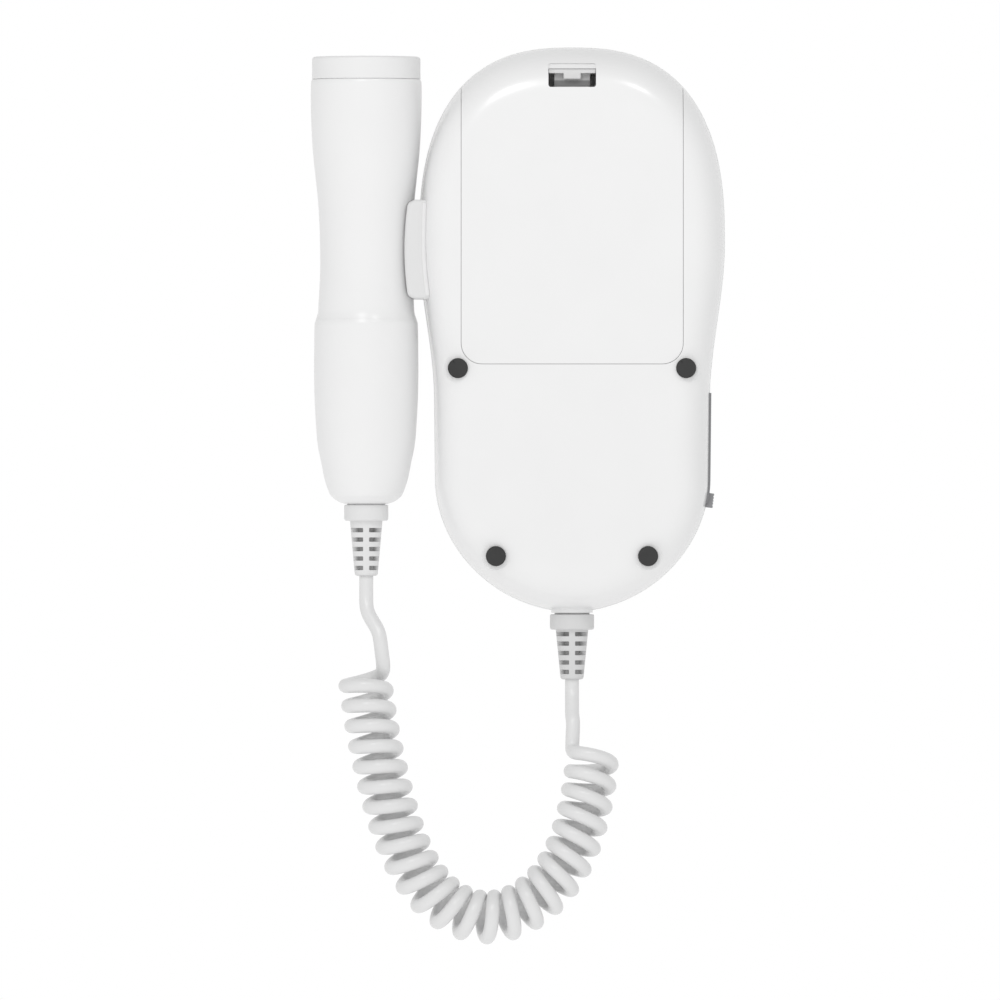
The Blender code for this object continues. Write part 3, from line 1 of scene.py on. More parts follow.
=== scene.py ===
"""Looks of a handheld fetal doppler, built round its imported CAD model.

Everything is in metres in the model's own frame: the unit stands on its rubber feet, +Z points
out of its display side and +Y towards its top end. The photograph shows the rear, so the camera
looks up along +Z from below the floor, which is only seen from above.
"""
import math

import bmesh
import bpy
from mathutils import Matrix, Vector


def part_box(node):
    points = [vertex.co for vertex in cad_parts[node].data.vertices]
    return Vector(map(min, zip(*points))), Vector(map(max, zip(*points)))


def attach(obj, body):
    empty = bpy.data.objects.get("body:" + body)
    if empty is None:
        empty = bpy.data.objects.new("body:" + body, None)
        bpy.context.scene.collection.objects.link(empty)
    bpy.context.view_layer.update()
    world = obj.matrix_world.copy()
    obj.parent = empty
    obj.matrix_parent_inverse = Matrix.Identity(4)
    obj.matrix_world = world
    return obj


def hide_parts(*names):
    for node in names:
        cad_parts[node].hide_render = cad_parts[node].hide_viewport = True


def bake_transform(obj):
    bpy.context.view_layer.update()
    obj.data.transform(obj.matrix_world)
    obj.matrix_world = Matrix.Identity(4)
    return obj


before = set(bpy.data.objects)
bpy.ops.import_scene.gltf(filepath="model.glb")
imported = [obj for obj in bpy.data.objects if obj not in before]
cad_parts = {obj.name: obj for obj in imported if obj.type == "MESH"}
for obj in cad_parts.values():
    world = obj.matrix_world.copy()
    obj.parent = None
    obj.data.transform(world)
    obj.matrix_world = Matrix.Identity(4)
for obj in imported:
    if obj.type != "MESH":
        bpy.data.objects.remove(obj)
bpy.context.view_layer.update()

# Case
CHIN_HEIGHT = 0.0317
CHIN_EXTRA = 0.0006
CHIN_POWER = 1.93
DOME_HEIGHT = 0.0474
DOME_POWER = 2.57
CROWN_DROP = 0.00036
FLANK_LENGTH = 0.03755
WAIST_HALF_WIDTH = 0.0331
LOWER_HALF_WIDTH = 0.0329
ROLL_POWER = 2.4
REAR_SIDE_ROLL = 0.0085
REAR_END_ROLL = 0.0128
FRONT_SIDE_ROLL = 0.0100
FRONT_END_ROLL = 0.0140
PARTING_STEP = 0.00012
PARTING_ROUND = 0.00012
WALL = 0.0018
SEAM = 0.00010
HAIRLINE = 0.00002
GAP = 0.0003
OVERRUN = 0.0020
OUTLINE_SAMPLES = 1200
OUTLINE_POINTS = 260
ROLL_STEPS = 18
HOLLOW_STEPS = 6
ROUND_SIDES = 96
SMALL_SIDES = 48

# Places read from the frame
case_low, case_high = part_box("front_shell")
BODY_X = (case_low.x + case_high.x) / 2
BODY_HALF_WIDTH = (case_high.x - case_low.x) / 2
TOP_Y = case_high.y
BOTTOM_Y = case_low.y - CHIN_EXTRA
BODY_LENGTH = TOP_Y - BOTTOM_Y
PART_Z = case_low.z - GAP / 2
FRONT_Z = case_high.z
BACK_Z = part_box("rear_shell")[0].z
REAR_DEPTH = PART_Z - BACK_Z
FRONT_DEPTH = FRONT_Z - PART_Z


# Mesh helpers

def object_from(name, data):
    made = bpy.data.objects.new(name, data)
    bpy.context.scene.collection.objects.link(made)
    return made


def loft(name, rings, capped=True):
    """A closed skin through rings of points; its ends are capped or joined to each other."""
    made = bmesh.new()
    rows = [[made.verts.new(point) for point in ring] for ring in rings]
    count = len(rows[0])
    pairs = list(zip(rows, rows[1:]))
    if not capped:
        pairs.append((rows[-1], rows[0]))
    for lower, upper in pairs:
        for index in range(count):
            after = (index + 1) % count
            made.faces.new((lower[index], lower[after], upper[after], upper[index]))
    if capped:
        made.faces.new(reversed(rows[0]))
        made.faces.new(rows[-1])
    bmesh.ops.recalc_face_normals(made, faces=made.faces)
    mesh = bpy.data.meshes.new(name)
    made.to_mesh(mesh)
    made.free()
    return object_from(name, mesh)


def settle(thing):
    """Apply an object's modifiers to its mesh."""
    graph = bpy.context.evaluated_depsgraph_get()
    mesh = bpy.data.meshes.new_from_object(thing.evaluated_get(graph))
    thing.modifiers.clear()
    thing.data = mesh
    return thing


def combine(thing, others, how):
    """Apply Booleans with other objects, one after the other, and remove those objects."""
    for other in others:
        step = thing.modifiers.new("combine", "BOOLEAN")
        step.operation = how
        step.solver = "EXACT"
        step.object = other
        settle(thing)
        bpy.data.objects.remove(other)
    return thing


def cut(thing, *others):
    return combine(thing, others, "DIFFERENCE")


def join(thing, *others):
    return combine(thing, others, "UNION")


def keep(thing, other):
    return combine(thing, [other], "INTERSECT")


def round_edges(thing, width, segments=3):
    step = thing.modifiers.new("round", "BEVEL")
    step.width = width
    step.segments = segments
    step.limit_method = "ANGLE"
    step.angle_limit = math.radians(30.0)
    step.use_clamp_overlap = True
    return settle(thing)


def box(name, low, high, edge=0.0):
    """A block between two corners, its edges rounded when edge is above 0."""
    corners = [(low[0], low[1]), (high[0], low[1]), (high[0], high[1]), (low[0], high[1])]
    thing = loft(name, [[(x, y, z) for x, y in corners] for z in (low[2], high[2])])
    return round_edges(thing, edge) if edge else thing


def slab(name, half, ys, zs, edge=0.0):
    """A block centred on the unit's middle line."""
    return box(name, (BODY_X - half, ys[0], zs[0]), (BODY_X + half, ys[1], zs[1]), edge)


def side_box(name, sign, near, far, ys, zs):
    """A block between two distances from the unit's middle line, towards +X or -X."""
    low, high = sorted((BODY_X + sign * near, BODY_X + sign * far))
    return box(name, (low, ys[0], zs[0]), (high, ys[1], zs[1]))


def prism(name, plan, low, high):
    return loft(name, [[(x, y, z) for x, y in plan] for z in (low, high)])


AXIS_TURNS = {"Z": Matrix(), "Y": Matrix.Rotation(math.radians(-90.0), 4, "X"),
              "X": Matrix.Rotation(math.radians(90.0), 4, "Y")}


def turned(name, profile, sides, place, axis="Z", capped=True):
    """A solid of revolution; profile is (radius, height) pairs up the axis."""
    rings = [[(radius * math.cos(2 * math.pi * side / sides),
               radius * math.sin(2 * math.pi * side / sides), height)
              for side in range(sides)] for radius, height in profile]
    thing = loft(name, rings, capped)
    thing.data.transform(AXIS_TURNS[axis])
    thing.data.transform(Matrix.Translation(place))
    return thing


def cylinder(name, radius, x, y, low, high):
    return turned(name, [(radius, low), (radius, high)], SMALL_SIDES, (x, y, 0.0))


def lengthwise(name, profile, x, sides=SMALL_SIDES, capped=True):
    """A solid turned about a line along +Y, at the height of the case's parting line."""
    return turned(name, profile, sides, (x, 0.0, PART_Z), "Y", capped)


def rod(name, radius, low, high, x):
    return lengthwise(name, [(radius, low), (radius, high)], x)


def arc(steps, first=0):
    """1 - cos and 1 - sin at even steps of a quarter turn."""
    return [(1 - math.cos(math.pi / 2 * step / steps), 1 - math.sin(math.pi / 2 * step / steps))
            for step in range(first, steps + 1)]


def low_edge(radius, low, rounding, steps=6):
    """The rounded edge at a profile's lower end, from its face out to its side."""
    return [(radius - rounding * inward, low + rounding * rise) for rise, inward in arc(steps)]


def high_edge(radius, high, rounding, steps=6, first=0):
    """The rounded edge at a profile's upper end, from its side in to its face."""
    return [(radius - rounding * inward, high - rounding * fall) for inward, fall in arc(steps, first)]


def tube_along(name, points, radius, sides):
    """A closed round tube along points, with steady sections."""
    count = len(points)
    across = None
    rings = []
    for index in range(count):
        along = (points[min(index + 1, count - 1)] - points[max(index - 1, 0)]).normalized()
        if across is None:
            across = along.orthogonal().normalized()
        else:
            across = (across - along * across.dot(along)).normalized()
        other = along.cross(across)
        rings.append([points[index] + (across * math.cos(2 * math.pi * side / sides)
                                       + other * math.sin(2 * math.pi * side / sides)) * radius
                      for side in range(sides)])
    return loft(name, rings)


# Lines

def measure(points):
    return sum((after - before).length for before, after in zip(points, points[1:]))


def even_points(points, count):
    """The same open line with count evenly spaced pieces."""
    reach = [0.0]
    for before, after in zip(points, points[1:]):
        reach.append(reach[-1] + (after - before).length)
    spaced = []
    at = 0
    for step in range(count + 1):
        target = reach[-1] * step / count
        while at < len(points) - 2 and reach[at + 1] < target:
            at += 1
        span = reach[at + 1] - reach[at]
        share = (target - reach[at]) / span if span else 0.0
        spaced.append(points[at].lerp(points[at + 1], share))
    return spaced


def curve(points, pieces, weigh):
    """A curve in small even pieces; weigh mixes the four points round each piece."""
    places = [Vector(point) for point in points]
    places = [places[0] * 2 - places[1]] + places + [places[-1] * 2 - places[-2]]
    line = [weigh(*places[index - 1:index + 3], piece / pieces)
            for index in range(1, len(places) - 2) for piece in range(pieces)]
    return line + [places[-2]]


def through_points(before, start, end, after, share):
    return ((start * 2) + (end - before) * share
            + (before * 2 - start * 5 + end * 4 - after) * share ** 2
            + (start * 3 - before - end * 3 + after) * share ** 3) / 2


def near_points(before, start, end, after, share):
    """Steadier bends: the curve passes near its points, and ends at the first and last."""
    return (before * (1 - share) ** 3 + start * (3 * share ** 3 - 6 * share ** 2 + 4)
            + end * (-3 * share ** 3 + 3 * share ** 2 + 3 * share + 1) + after * share ** 3) / 6


# Finishes

MIX_COLOURS = (6, 7)
MIX_RESULT = 2
COAT_ROUGHNESS = 0.20
GRAIN_SCALE = 3200.0
GRAIN_STRENGTH = 0.25
FINE_GRAIN = 0.000006
SHEEN_SCALE = 90.0
COLOUR_SCALE = 60.0
COLOUR_DRIFT = (0.992, 1.008)
DRIFT_ENDS = (0.3, 0.7)
METAL_SHEEN_SCALE = 500.0
LINE_SCALE = 60.0
LINE_SPACING_SCALE = 6000.0
LINE_STRENGTH = 0.2
LINE_DEPTH = 0.000004
SHARP_ANGLE = math.radians(32.0)
# Depths along Z and heights along Y over which the latch's web is painted in shade
WEB_SHADE_DEPTHS = (BACK_Z + 0.0037, BACK_Z + 0.0045)
WEB_SHADE = (TOP_Y - 0.0086, TOP_Y - 0.0082)


def grey(level):
    return (level, level, level)


def feed(socket, value):
    """Give a socket its own value, or link it to another node's output."""
    if isinstance(value, bpy.types.NodeSocket):
        socket.id_data.links.new(value, socket)
    elif socket.type == "RGBA":
        socket.default_value = (*value, 1.0)
    else:
        socket.default_value = value


def node_of(tree, kind, inputs=None, **settings):
    made = tree.nodes.new("ShaderNode" + kind)
    for name, value in settings.items():
        setattr(made, name, value)
    for name, value in (inputs or {}).items():
        feed(made.inputs[name], value)
    return made


def object_place(tree):
    """The surface's place in the model's frame."""
    return node_of(tree, "TexCoord").outputs["Object"]


def place_along(tree, axis):
    return node_of(tree, "SeparateXYZ", {"Vector": object_place(tree)}).outputs[axis]


def noise(tree, place, scale, detail, roughness=0.5):
    inputs = {"Vector": place, "Scale": scale, "Detail": detail, "Roughness": roughness}
    return node_of(tree, "TexNoise", inputs).outputs["Fac"]


def ramp(tree, share, first, last, start=0.0, end=1.0):
    made = node_of(tree, "ValToRGB", {"Fac": share})
    for element, colour, position in zip(made.color_ramp.elements, (first, last), (start, end)):
        element.position = position
        element.color = (*colour, 1.0)
    return made.outputs["Color"]


def ranged(tree, value, start, end, low=0.0, high=1.0, blend="LINEAR"):
    inputs = {"Value": value, "From Min": start, "From Max": end, "To Min": low, "To Max": high}
    return node_of(tree, "MapRange", inputs, interpolation_type=blend).outputs["Result"]


def maths(tree, operation, *values):
    return node_of(tree, "Math", dict(enumerate(values)), operation=operation).outputs[0]


def vector_maths(tree, operation, output, *values):
    return node_of(tree, "VectorMath", dict(enumerate(values)), operation=operation).outputs[output]


def mixed(tree, share, first, last):
    inputs = {0: share, MIX_COLOURS[0]: first, MIX_COLOURS[1]: last}
    return node_of(tree, "Mix", inputs, data_type="RGBA").outputs[MIX_RESULT]


def mixed_shader(tree, share, first, last):
    return node_of(tree, "MixShader", {0: share, 1: first, 2: last}).outputs[0]


def between(tree, value, start, end):
    """1 where a value lies between two others, and 0 elsewhere."""
    return maths(tree, "MULTIPLY", maths(tree, "GREATER_THAN", value, start),
                 maths(tree, "LESS_THAN", value, end))


surfaces = {}


def finish_of(name, colour, roughness, metallic=0.0, coat=0.0):
    """A new surface's tree and shader, with the values that are the same all over on its sockets."""
    made = surfaces[name] = bpy.data.materials.new(name)
    made.use_nodes = True
    shader = made.node_tree.nodes["Principled BSDF"]
    for socket, value in (("Base Color", colour), ("Roughness", roughness), ("Metallic", metallic),
                          ("Coat Weight", coat), ("Coat Roughness", COAT_ROUGHNESS)):
        feed(shader.inputs[socket], value)
    return made.node_tree, shader


def sheen_spread(tree, shader, low, high, scale=SHEEN_SCALE):
    """Let the roughness drift between two values."""
    drift = noise(tree, object_place(tree), scale, 4.0, 0.6)
    feed(shader.inputs["Roughness"], ranged(tree, drift, *DRIFT_ENDS, low, high))


def bump(tree, shader, height, strength, distance):
    made = node_of(tree, "Bump", {"Height": height, "Strength": strength, "Distance": distance})
    feed(shader.inputs["Normal"], made.outputs["Normal"])


def grain(tree, shader, height=FINE_GRAIN):
    """A fine moulded grain in the surface."""
    bump(tree, shader, noise(tree, object_place(tree), GRAIN_SCALE, 2.0), GRAIN_STRENGTH, height)


def moulded(name, colour, low_rough, high_rough, grain_height=FINE_GRAIN, coat=0.0):
    """Injection-moulded plastic: a nearly even colour, a fine grain and a sheen that drifts."""
    tree, shader = finish_of(name, colour, low_rough, 0.0, coat)
    tones = [[value * share for value in colour] for share in COLOUR_DRIFT]
    drift = noise(tree, object_place(tree), COLOUR_SCALE, 3.0, 0.55)
    feed(shader.inputs["Base Color"], ramp(tree, drift, *tones, *DRIFT_ENDS))
    sheen_spread(tree, shader, low_rough, high_rough)
    grain(tree, shader, grain_height)


def metal_finish(name, colour, roughness, line_axis):
    """Plated or pressed metal with fine drawn lines along one axis."""
    tree, shader = finish_of(name, colour, roughness, 1.0)
    sheen_spread(tree, shader, roughness * 0.8, roughness * 1.3, METAL_SHEEN_SCALE)
    scale = [LINE_SCALE if axis == line_axis else LINE_SPACING_SCALE for axis in "XYZ"]
    stretched = node_of(tree, "Mapping", {"Vector": object_place(tree), "Scale": scale}).outputs["Vector"]
    bump(tree, shader, noise(tree, stretched, 1.0, 2.0), LINE_STRENGTH, LINE_DEPTH)


def cell_finish(name, low, high, ring_low, ring_high):
    """A cell: a dark jacket between two heights along Y, bare metal beyond it, and a copper ring."""
    jacket = (0.030, 0.036, 0.045)
    tree, shader = finish_of(name, jacket, 0.3)
    along = place_along(tree, "Y")
    wrapped = between(tree, along, low, high)
    covered = mixed(tree, wrapped, (0.62, 0.62, 0.60), jacket)
    ringed = between(tree, along, ring_low, ring_high)
    feed(shader.inputs["Base Color"], mixed(tree, ringed, covered, (0.62, 0.33, 0.12)))
    feed(shader.inputs["Metallic"], maths(tree, "SUBTRACT", 1.0, wrapped))


def board_finish():
    """A green circuit board with a web of slightly lighter tracks."""
    tree, shader = finish_of("board_green", (0.04, 0.20, 0.09), 0.35, 0.0, 0.3)
    tracks = node_of(tree, "TexBrick", {"Vector": object_place(tree), "Scale": 260.0,
                                        "Color1": (0.035, 0.18, 0.08), "Color2": (0.045, 0.22, 0.10),
                                        "Mortar": (0.09, 0.32, 0.15)})
    feed(shader.inputs["Base Color"], tracks.outputs["Color"])


def painted_shade_finish(name, deep, outer, centre, axes, start, end):
    """Moulded plastic with painted shade: the deep colour near a line or plane through the piece, the outer
    colour further away; axes are what counts.
    """
    tree, shader = finish_of(name, outer, 0.42)
    away = vector_maths(tree, "SUBTRACT", "Vector", object_place(tree), centre)
    reach = vector_maths(tree, "LENGTH", "Value", vector_maths(tree, "MULTIPLY", "Vector", away, axes))
    share = ranged(tree, reach, start, end, blend="SMOOTHSTEP")
    feed(shader.inputs["Base Color"], mixed(tree, share, deep, outer))
    sheen_spread(tree, shader, 0.40, 0.48)
    grain(tree, shader, 0.000008)


def latch_finish():
    """The latch's grey-white plastic, with painted shade on its web where it lies far into the well, darkest
    towards the window's lower end.
    """
    white = grey(0.74)
    tree, shader = finish_of("latch_white", white, 0.38)
    # Painted shade: past these depths the web takes a dark grey, darker towards the window's lower end.
    deep = ranged(tree, place_along(tree, "Z"), *WEB_SHADE_DEPTHS, blend="SMOOTHSTEP")
    web = ramp(tree, ranged(tree, place_along(tree, "Y"), *WEB_SHADE), grey(0.27), grey(0.64))
    feed(shader.inputs["Base Color"], mixed(tree, deep, white, web))
    grain(tree, shader)


CASE_WHITE = grey(0.87)
for name, *look in (
        ("shell_white", CASE_WHITE, 0.30, 0.38, FINE_GRAIN, 1.0),
        ("cover_white", CASE_WHITE, 0.30, 0.38, FINE_GRAIN, 1.0),
        ("probe_white", CASE_WHITE, 0.30, 0.38, FINE_GRAIN, 0.3),
        ("cap_white", grey(0.845), 0.30, 0.38),
        ("cord_white", grey(0.78), 0.30, 0.38, 0.000008, 0.6),
        ("panel_grey", (0.27, 0.27, 0.28), 0.40, 0.50, 0.000012),
        ("knob_grey", (0.30, 0.30, 0.31), 0.40, 0.50, 0.000012),
        ("button_grey", (0.45, 0.46, 0.48), 0.42, 0.52, 0.000014),
        ("foot_rubber", grey(0.030), 0.55, 0.72, 0.000030),
        ("dark_plastic", (0.05, 0.05, 0.055), 0.40, 0.55, 0.000010),
        ("backing_grey", (0.30, 0.30, 0.31), 0.60, 0.75, 0.000030),
        ("crystal_ceramic", (0.55, 0.50, 0.42), 0.40, 0.55, 0.000010)):
    moulded(name, *look)
for name, *look in (("screw_steel", grey(0.70), 0.28, "Z"), ("contact_steel", (0.78, 0.77, 0.73), 0.22, "X"),
                    ("pot_steel", grey(0.62), 0.35, "Y")):
    metal_finish(name, *look)
board_finish()


def dress(thing, node, surface, body="root"):
    """Shade a piece, give it its finish, and let it stand for its CAD node on that node's body."""
    thing.data.materials.clear()
    thing.data.materials.append(surfaces[surface])
    thing.data.shade_smooth()
    thing.data.set_sharp_from_angle(angle=SHARP_ANGLE)
    even = thing.modifiers.new("even_normals", "WEIGHTED_NORMAL")
    even.keep_sharp = True
    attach(thing, body)
    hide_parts(node)
    return thing


# The case's shape

NORMAL_EASING = 6
BAND_STEPS = 24


def blend_between(start, end, share):
    return start + (end - start) * (share * share * (3 - 2 * share))


def half_width(drop):
    """The case's half-width at a distance below its top end."""
    if drop < DOME_HEIGHT:
        rise = min(1.0, (DOME_HEIGHT - drop) / DOME_HEIGHT)
        return BODY_HALF_WIDTH * (1 - rise ** DOME_POWER) ** (1 / DOME_POWER)
    flank = drop - DOME_HEIGHT
    if flank < FLANK_LENGTH:
        return blend_between(BODY_HALF_WIDTH, WAIST_HALF_WIDTH, flank / FLANK_LENGTH)
    chin_start = BODY_LENGTH - CHIN_HEIGHT
    if drop < chin_start:
        share = (flank - FLANK_LENGTH) / (chin_start - DOME_HEIGHT - FLANK_LENGTH)
        return WAIST_HALF_WIDTH + (LOWER_HALF_WIDTH - WAIST_HALF_WIDTH) * share
    fall = min(1.0, (drop - chin_start) / CHIN_HEIGHT)
    return LOWER_HALF_WIDTH * (1 - fall ** CHIN_POWER) ** (1 / CHIN_POWER)


def outline_with_normals():
    """The case's outline, from the top end round by the +X side, with outward normals."""
    side = []
    for step in range(OUTLINE_SAMPLES + 1):
        drop = BODY_LENGTH * (1 - math.cos(math.pi * step / OUTLINE_SAMPLES)) / 2
        crown = CROWN_DROP * max(0.0, 1 - drop / DOME_HEIGHT)
        side.append(Vector((half_width(drop), -drop - crown)))
    side = even_points(side, OUTLINE_POINTS // 2)
    around = side + [Vector((-point.x, point.y)) for point in reversed(side[1:-1])]
    count = len(around)
    normals = []
    for index in range(count):
        along = around[(index + 1) % count] - around[index - 1]
        normals.append(Vector((-along.y, along.x)).normalized())
    for turn in range(NORMAL_EASING):
        normals = [(normals[index - 1] + normals[index] * 2 + normals[(index + 1) % count]).normalized()
                   for index in range(count)]
    return list(zip(around, normals))


OUTLINE = outline_with_normals()


def case_ring(inset, side_roll, end_roll, turn, depth, direction):
    """One ring of the rolled case edge; turn goes from 0 at the parting line to 90 degrees."""
    in_share = 1 - math.cos(turn) ** (2 / ROLL_POWER)
    down_share = math.sin(turn) ** (2 / ROLL_POWER)
    ring = []
    for point, normal in OUTLINE:
        roll = side_roll + (end_roll - side_roll) * normal.y ** 2
        moved = point - normal * (inset + roll * in_share)
        ring.append((BODY_X + moved.x, TOP_Y + moved.y, PART_Z + direction * depth * down_share))
    return ring


def half_case(name, inset, back, edge_gap, steps=ROLL_STEPS, lip=0.0):
    """A solid half of the case; back is True for the half with the feet, and lip rounds its edge."""
    direction = -1 if back else 1
    step = PARTING_STEP if back else 0.0
    depth = (REAR_DEPTH if back else FRONT_DEPTH) - inset
    side = (REAR_SIDE_ROLL if back else FRONT_SIDE_ROLL) - inset
    end = (REAR_END_ROLL if back else FRONT_END_ROLL) - inset
    edge = PART_Z + direction * edge_gap
    rings = []
    for rise, inward in arc(3) if lip else [(0.0, 0.0)]:
        ring = case_ring(inset + step + lip * inward, side, end, 0.0, depth, direction)
        rings.append([(x, y, edge + direction * lip * rise) for x, y, z in ring])
    for roll_step in range(1, steps + 1):
        turn = min(math.pi / 2, math.pi / 2 * roll_step / steps)
        rings.append(case_ring(inset + step, side, end, turn, depth, direction))
    return loft(name, rings)


def hollow_case(name, back):
    shell = half_case(name, 0.0, back, GAP / 2, lip=PARTING_ROUND)
    return cut(shell, half_case("case_hollow", WALL, back, -OVERRUN, HOLLOW_STEPS))


def rounded_plan(low, high, radius, corners=(True, True, True, True), steps=12):
    """A rectangle in plan with some corners rounded, counted from the lower left round by +X."""
    plan = []
    places = [(low[0], low[1]), (high[0], low[1]), (high[0], high[1]), (low[0], high[1])]
    for index, (x, y) in enumerate(places):
        if not corners[index]:
            plan.append((x, y))
            continue
        centre_x = x + radius * (1 if x == low[0] else -1)
        centre_y = y + radius * (1 if y == low[1] else -1)
        for step in range(steps + 1):
            turn = math.pi + math.pi / 2 * (index + step / steps)
            plan.append((centre_x + radius * math.cos(turn), centre_y + radius * math.sin(turn)))
    return plan


def band(name, outward, inward, low_drop, high_drop, half_height):
    """A plate that follows the case's -X side between two distances below the top end."""
    outer = []
    inner = []
    for step in range(BAND_STEPS + 1):
        drop = low_drop + (high_drop - low_drop) * step / BAND_STEPS
        slope = half_width(drop + GAP) - half_width(drop - GAP)
        normal = Vector((-2 * GAP, -slope)).normalized()
        base = Vector((BODY_X - half_width(drop), TOP_Y - drop))
        outer.append(base + normal * outward)
        inner.append(base - normal * inward)
    return prism(name, [tuple(point) for point in outer + inner[::-1]],
                 PART_Z - half_height, PART_Z + half_height)


def middle_of(node):
    """The middle of a node's box in x and y."""
    low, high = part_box(node)
    return (low.x + high.x) / 2, (low.y + high.y) / 2


# Battery cover, its latch and the rear shell

COVER_THICKNESS = 0.0016
COVER_CORNER_RADIUS = 0.0050
cover_low, cover_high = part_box("battery_cover")
COVER_HALF_WIDTH = (cover_high.x - cover_low.x) / 2 + GAP / 2
COVER_Y = cover_low.y - GAP / 2
WINDOW_HALF_WIDTH = 0.0057
WINDOW_START = 0.0044
WINDOW_END = 0.0101
WINDOW_CORNER = 0.0006
LIP_LENGTH = 0.00125
LIP_SINK = 0.0003
RAIL_HALF_GAUGE = 0.0242
RAIL_LEG = 0.0008
RAIL_FOOT = 0.0016
RAIL_LENGTH = 0.0400
RAIL_START = 0.0080
LEDGE_THICKNESS = 0.0012
BAY_WALL = 0.0012
CELL_RADIUS = 0.00725
CELL_SPACING = 0.0150
CELL_CLEARANCE = 0.0005
CELL_Z = BACK_Z + COVER_THICKNESS + CELL_CLEARANCE + CELL_RADIUS
BAY_TOP_Z = CELL_Z + CELL_RADIUS + GAP
BAY_HALF_WIDTH = CELL_SPACING + CELL_RADIUS + GAP
BAY_LOW_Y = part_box("battery_plate_lower_left")[0].y - GAP
BAY_HIGH_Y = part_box("battery_plate_upper_left")[1].y + GAP
LATCH_WEB_TOP = 0.0055
KEEPER_Z = BACK_Z + LATCH_WEB_TOP + GAP
KEEPER_THICKNESS = 0.0014
WELL_HALF_WIDTH = 0.0100


def cover_prism(name, grow, high):
    """The battery cover's outline in plan, grown by a share of the seam, through the rear half."""
    half = COVER_HALF_WIDTH + grow
    plan = rounded_plan((BODY_X - half, COVER_Y - grow), (BODY_X + half, TOP_Y + OVERRUN),
                        COVER_CORNER_RADIUS + grow, (True, True, False, False))
    return prism(name, plan, -OVERRUN, high)


def battery_cover():
    """The cover's skin with its rails and ribs, and the latch's window with a sunken lip at its top."""
    cover = half_case("battery_cover_skin", 0.0, True, GAP / 2, lip=PARTING_ROUND)
    cut(cover, half_case("cover_hollow", COVER_THICKNESS, True, -OVERRUN, HOLLOW_STEPS * 2))
    keep(cover, cover_prism("cover_edge", -SEAM / 2, PART_Z))
    inner_z = BACK_Z + COVER_THICKNESS
    foot_z = inner_z + 2 * GAP + LEDGE_THICKNESS
    ys = (COVER_Y + RAIL_START, COVER_Y + RAIL_START + RAIL_LENGTH)
    edge = RAIL_HALF_GAUGE - RAIL_LEG
    for sign in (-1, 1):
        leg = side_box("rail_leg", sign, edge, RAIL_HALF_GAUGE, ys,
                       (BACK_Z + COVER_THICKNESS / 2, foot_z + RAIL_LEG))
        foot = side_box("rail_foot", sign, edge, RAIL_HALF_GAUGE + RAIL_FOOT, ys, (foot_z, foot_z + RAIL_LEG))
        join(cover, join(leg, foot))
    for side in (-1, 0, 1):
        x = BODY_X + side * CELL_SPACING
        join(cover, box("stiffening_rib", (x - GAP, ys[0], inner_z - GAP),
                        (x + GAP, BAY_HIGH_Y, inner_z + GAP)))
    plan = rounded_plan((BODY_X - WINDOW_HALF_WIDTH, TOP_Y - WINDOW_END),
                        (BODY_X + WINDOW_HALF_WIDTH, TOP_Y - WINDOW_START), WINDOW_CORNER)
    lip = slab("lip_limit", 2 * WINDOW_HALF_WIDTH, (TOP_Y - WINDOW_START - LIP_LENGTH, TOP_Y),
               (-OVERRUN, PART_Z))
    keep(lip, half_case("lip_floor", LIP_SINK, True, -OVERRUN))
    return cut(cover, cut(prism("window", plan, -OVERRUN, PART_Z - OVERRUN), lip))


LATCH_START = 0.00569
LATCH_THICKNESS = 0.0009
LATCH_BAR_HALF = 0.00565
LATCH_BAR_LENGTH = 0.0011
LATCH_BAR_DEPTH = 0.0027
LATCH_PAD_HALF = 0.0021
LATCH_PAD_LENGTH = 0.0025
LATCH_LEG_HALF = 0.0044
LATCH_WEB_DEPTH = 0.0046
LATCH_WEB_LENGTH = 0.00521
LATCH_REAR_DEPTH = 0.0031
LATCH_EDGE = 0.00012
LATCH_BAR_EDGE = 0.0002
LATCH_PAD_EDGE = 0.0003
FACE_STEP = 0.0001


def cover_latch():
    """The sprung U: a finger bar with its pad, the front leg, the deep web and the rear leg.

    The blocks' faces lie a small step apart, so that they join cleanly.
    """
    start = LATCH_START
    web_end = start + LATCH_WEB_LENGTH
    bar = (LATCH_BAR_DEPTH, LATCH_BAR_DEPTH + LATCH_THICKNESS)
    front = (LATCH_BAR_DEPTH + 2 * FACE_STEP, LATCH_WEB_TOP - FACE_STEP)
    blocks = [
        (LATCH_BAR_HALF, start, start + LATCH_BAR_LENGTH, *bar, LATCH_BAR_EDGE),
        (LATCH_PAD_HALF, start + GAP / 2, start + LATCH_PAD_LENGTH, *bar, LATCH_PAD_EDGE),
        (LATCH_LEG_HALF, start + FACE_STEP, start + LATCH_THICKNESS - FACE_STEP, *front, LATCH_EDGE),
        (LATCH_LEG_HALF - FACE_STEP, start + 1.5 * FACE_STEP, web_end - FACE_STEP, LATCH_WEB_DEPTH,
         LATCH_WEB_TOP, LATCH_EDGE),
        (LATCH_LEG_HALF - 2 * FACE_STEP, web_end - LATCH_THICKNESS, web_end, LATCH_REAR_DEPTH,
         LATCH_WEB_TOP - FACE_STEP / 2, LATCH_EDGE)]
    return join(*[slab("cover_latch_spring", half, (TOP_Y - far, TOP_Y - near),
                       (BACK_Z + low, BACK_Z + high), edge)
                  for half, near, far, low, high, edge in blocks])


FOOT_RADIUS = 0.00237
FOOT_SEAT = 0.0011
FOOT_RIM = 0.0004
FOOT_CENTRE = 0.0004
FOOT_FLAT = 0.6
BOSS_RADIUS = 0.0033
SCREW_HEAD_RADIUS = 0.0021
SCREW_HEAD_LENGTH = 0.0014
SCREW_SHANK_RADIUS = 0.0011


def foot_places():
    """Where the four feet stand, read from the frame."""
    for corner in ("upper_left", "upper_right", "lower_left", "lower_right"):
        yield corner, *middle_of(f"rubber_foot_{corner}")


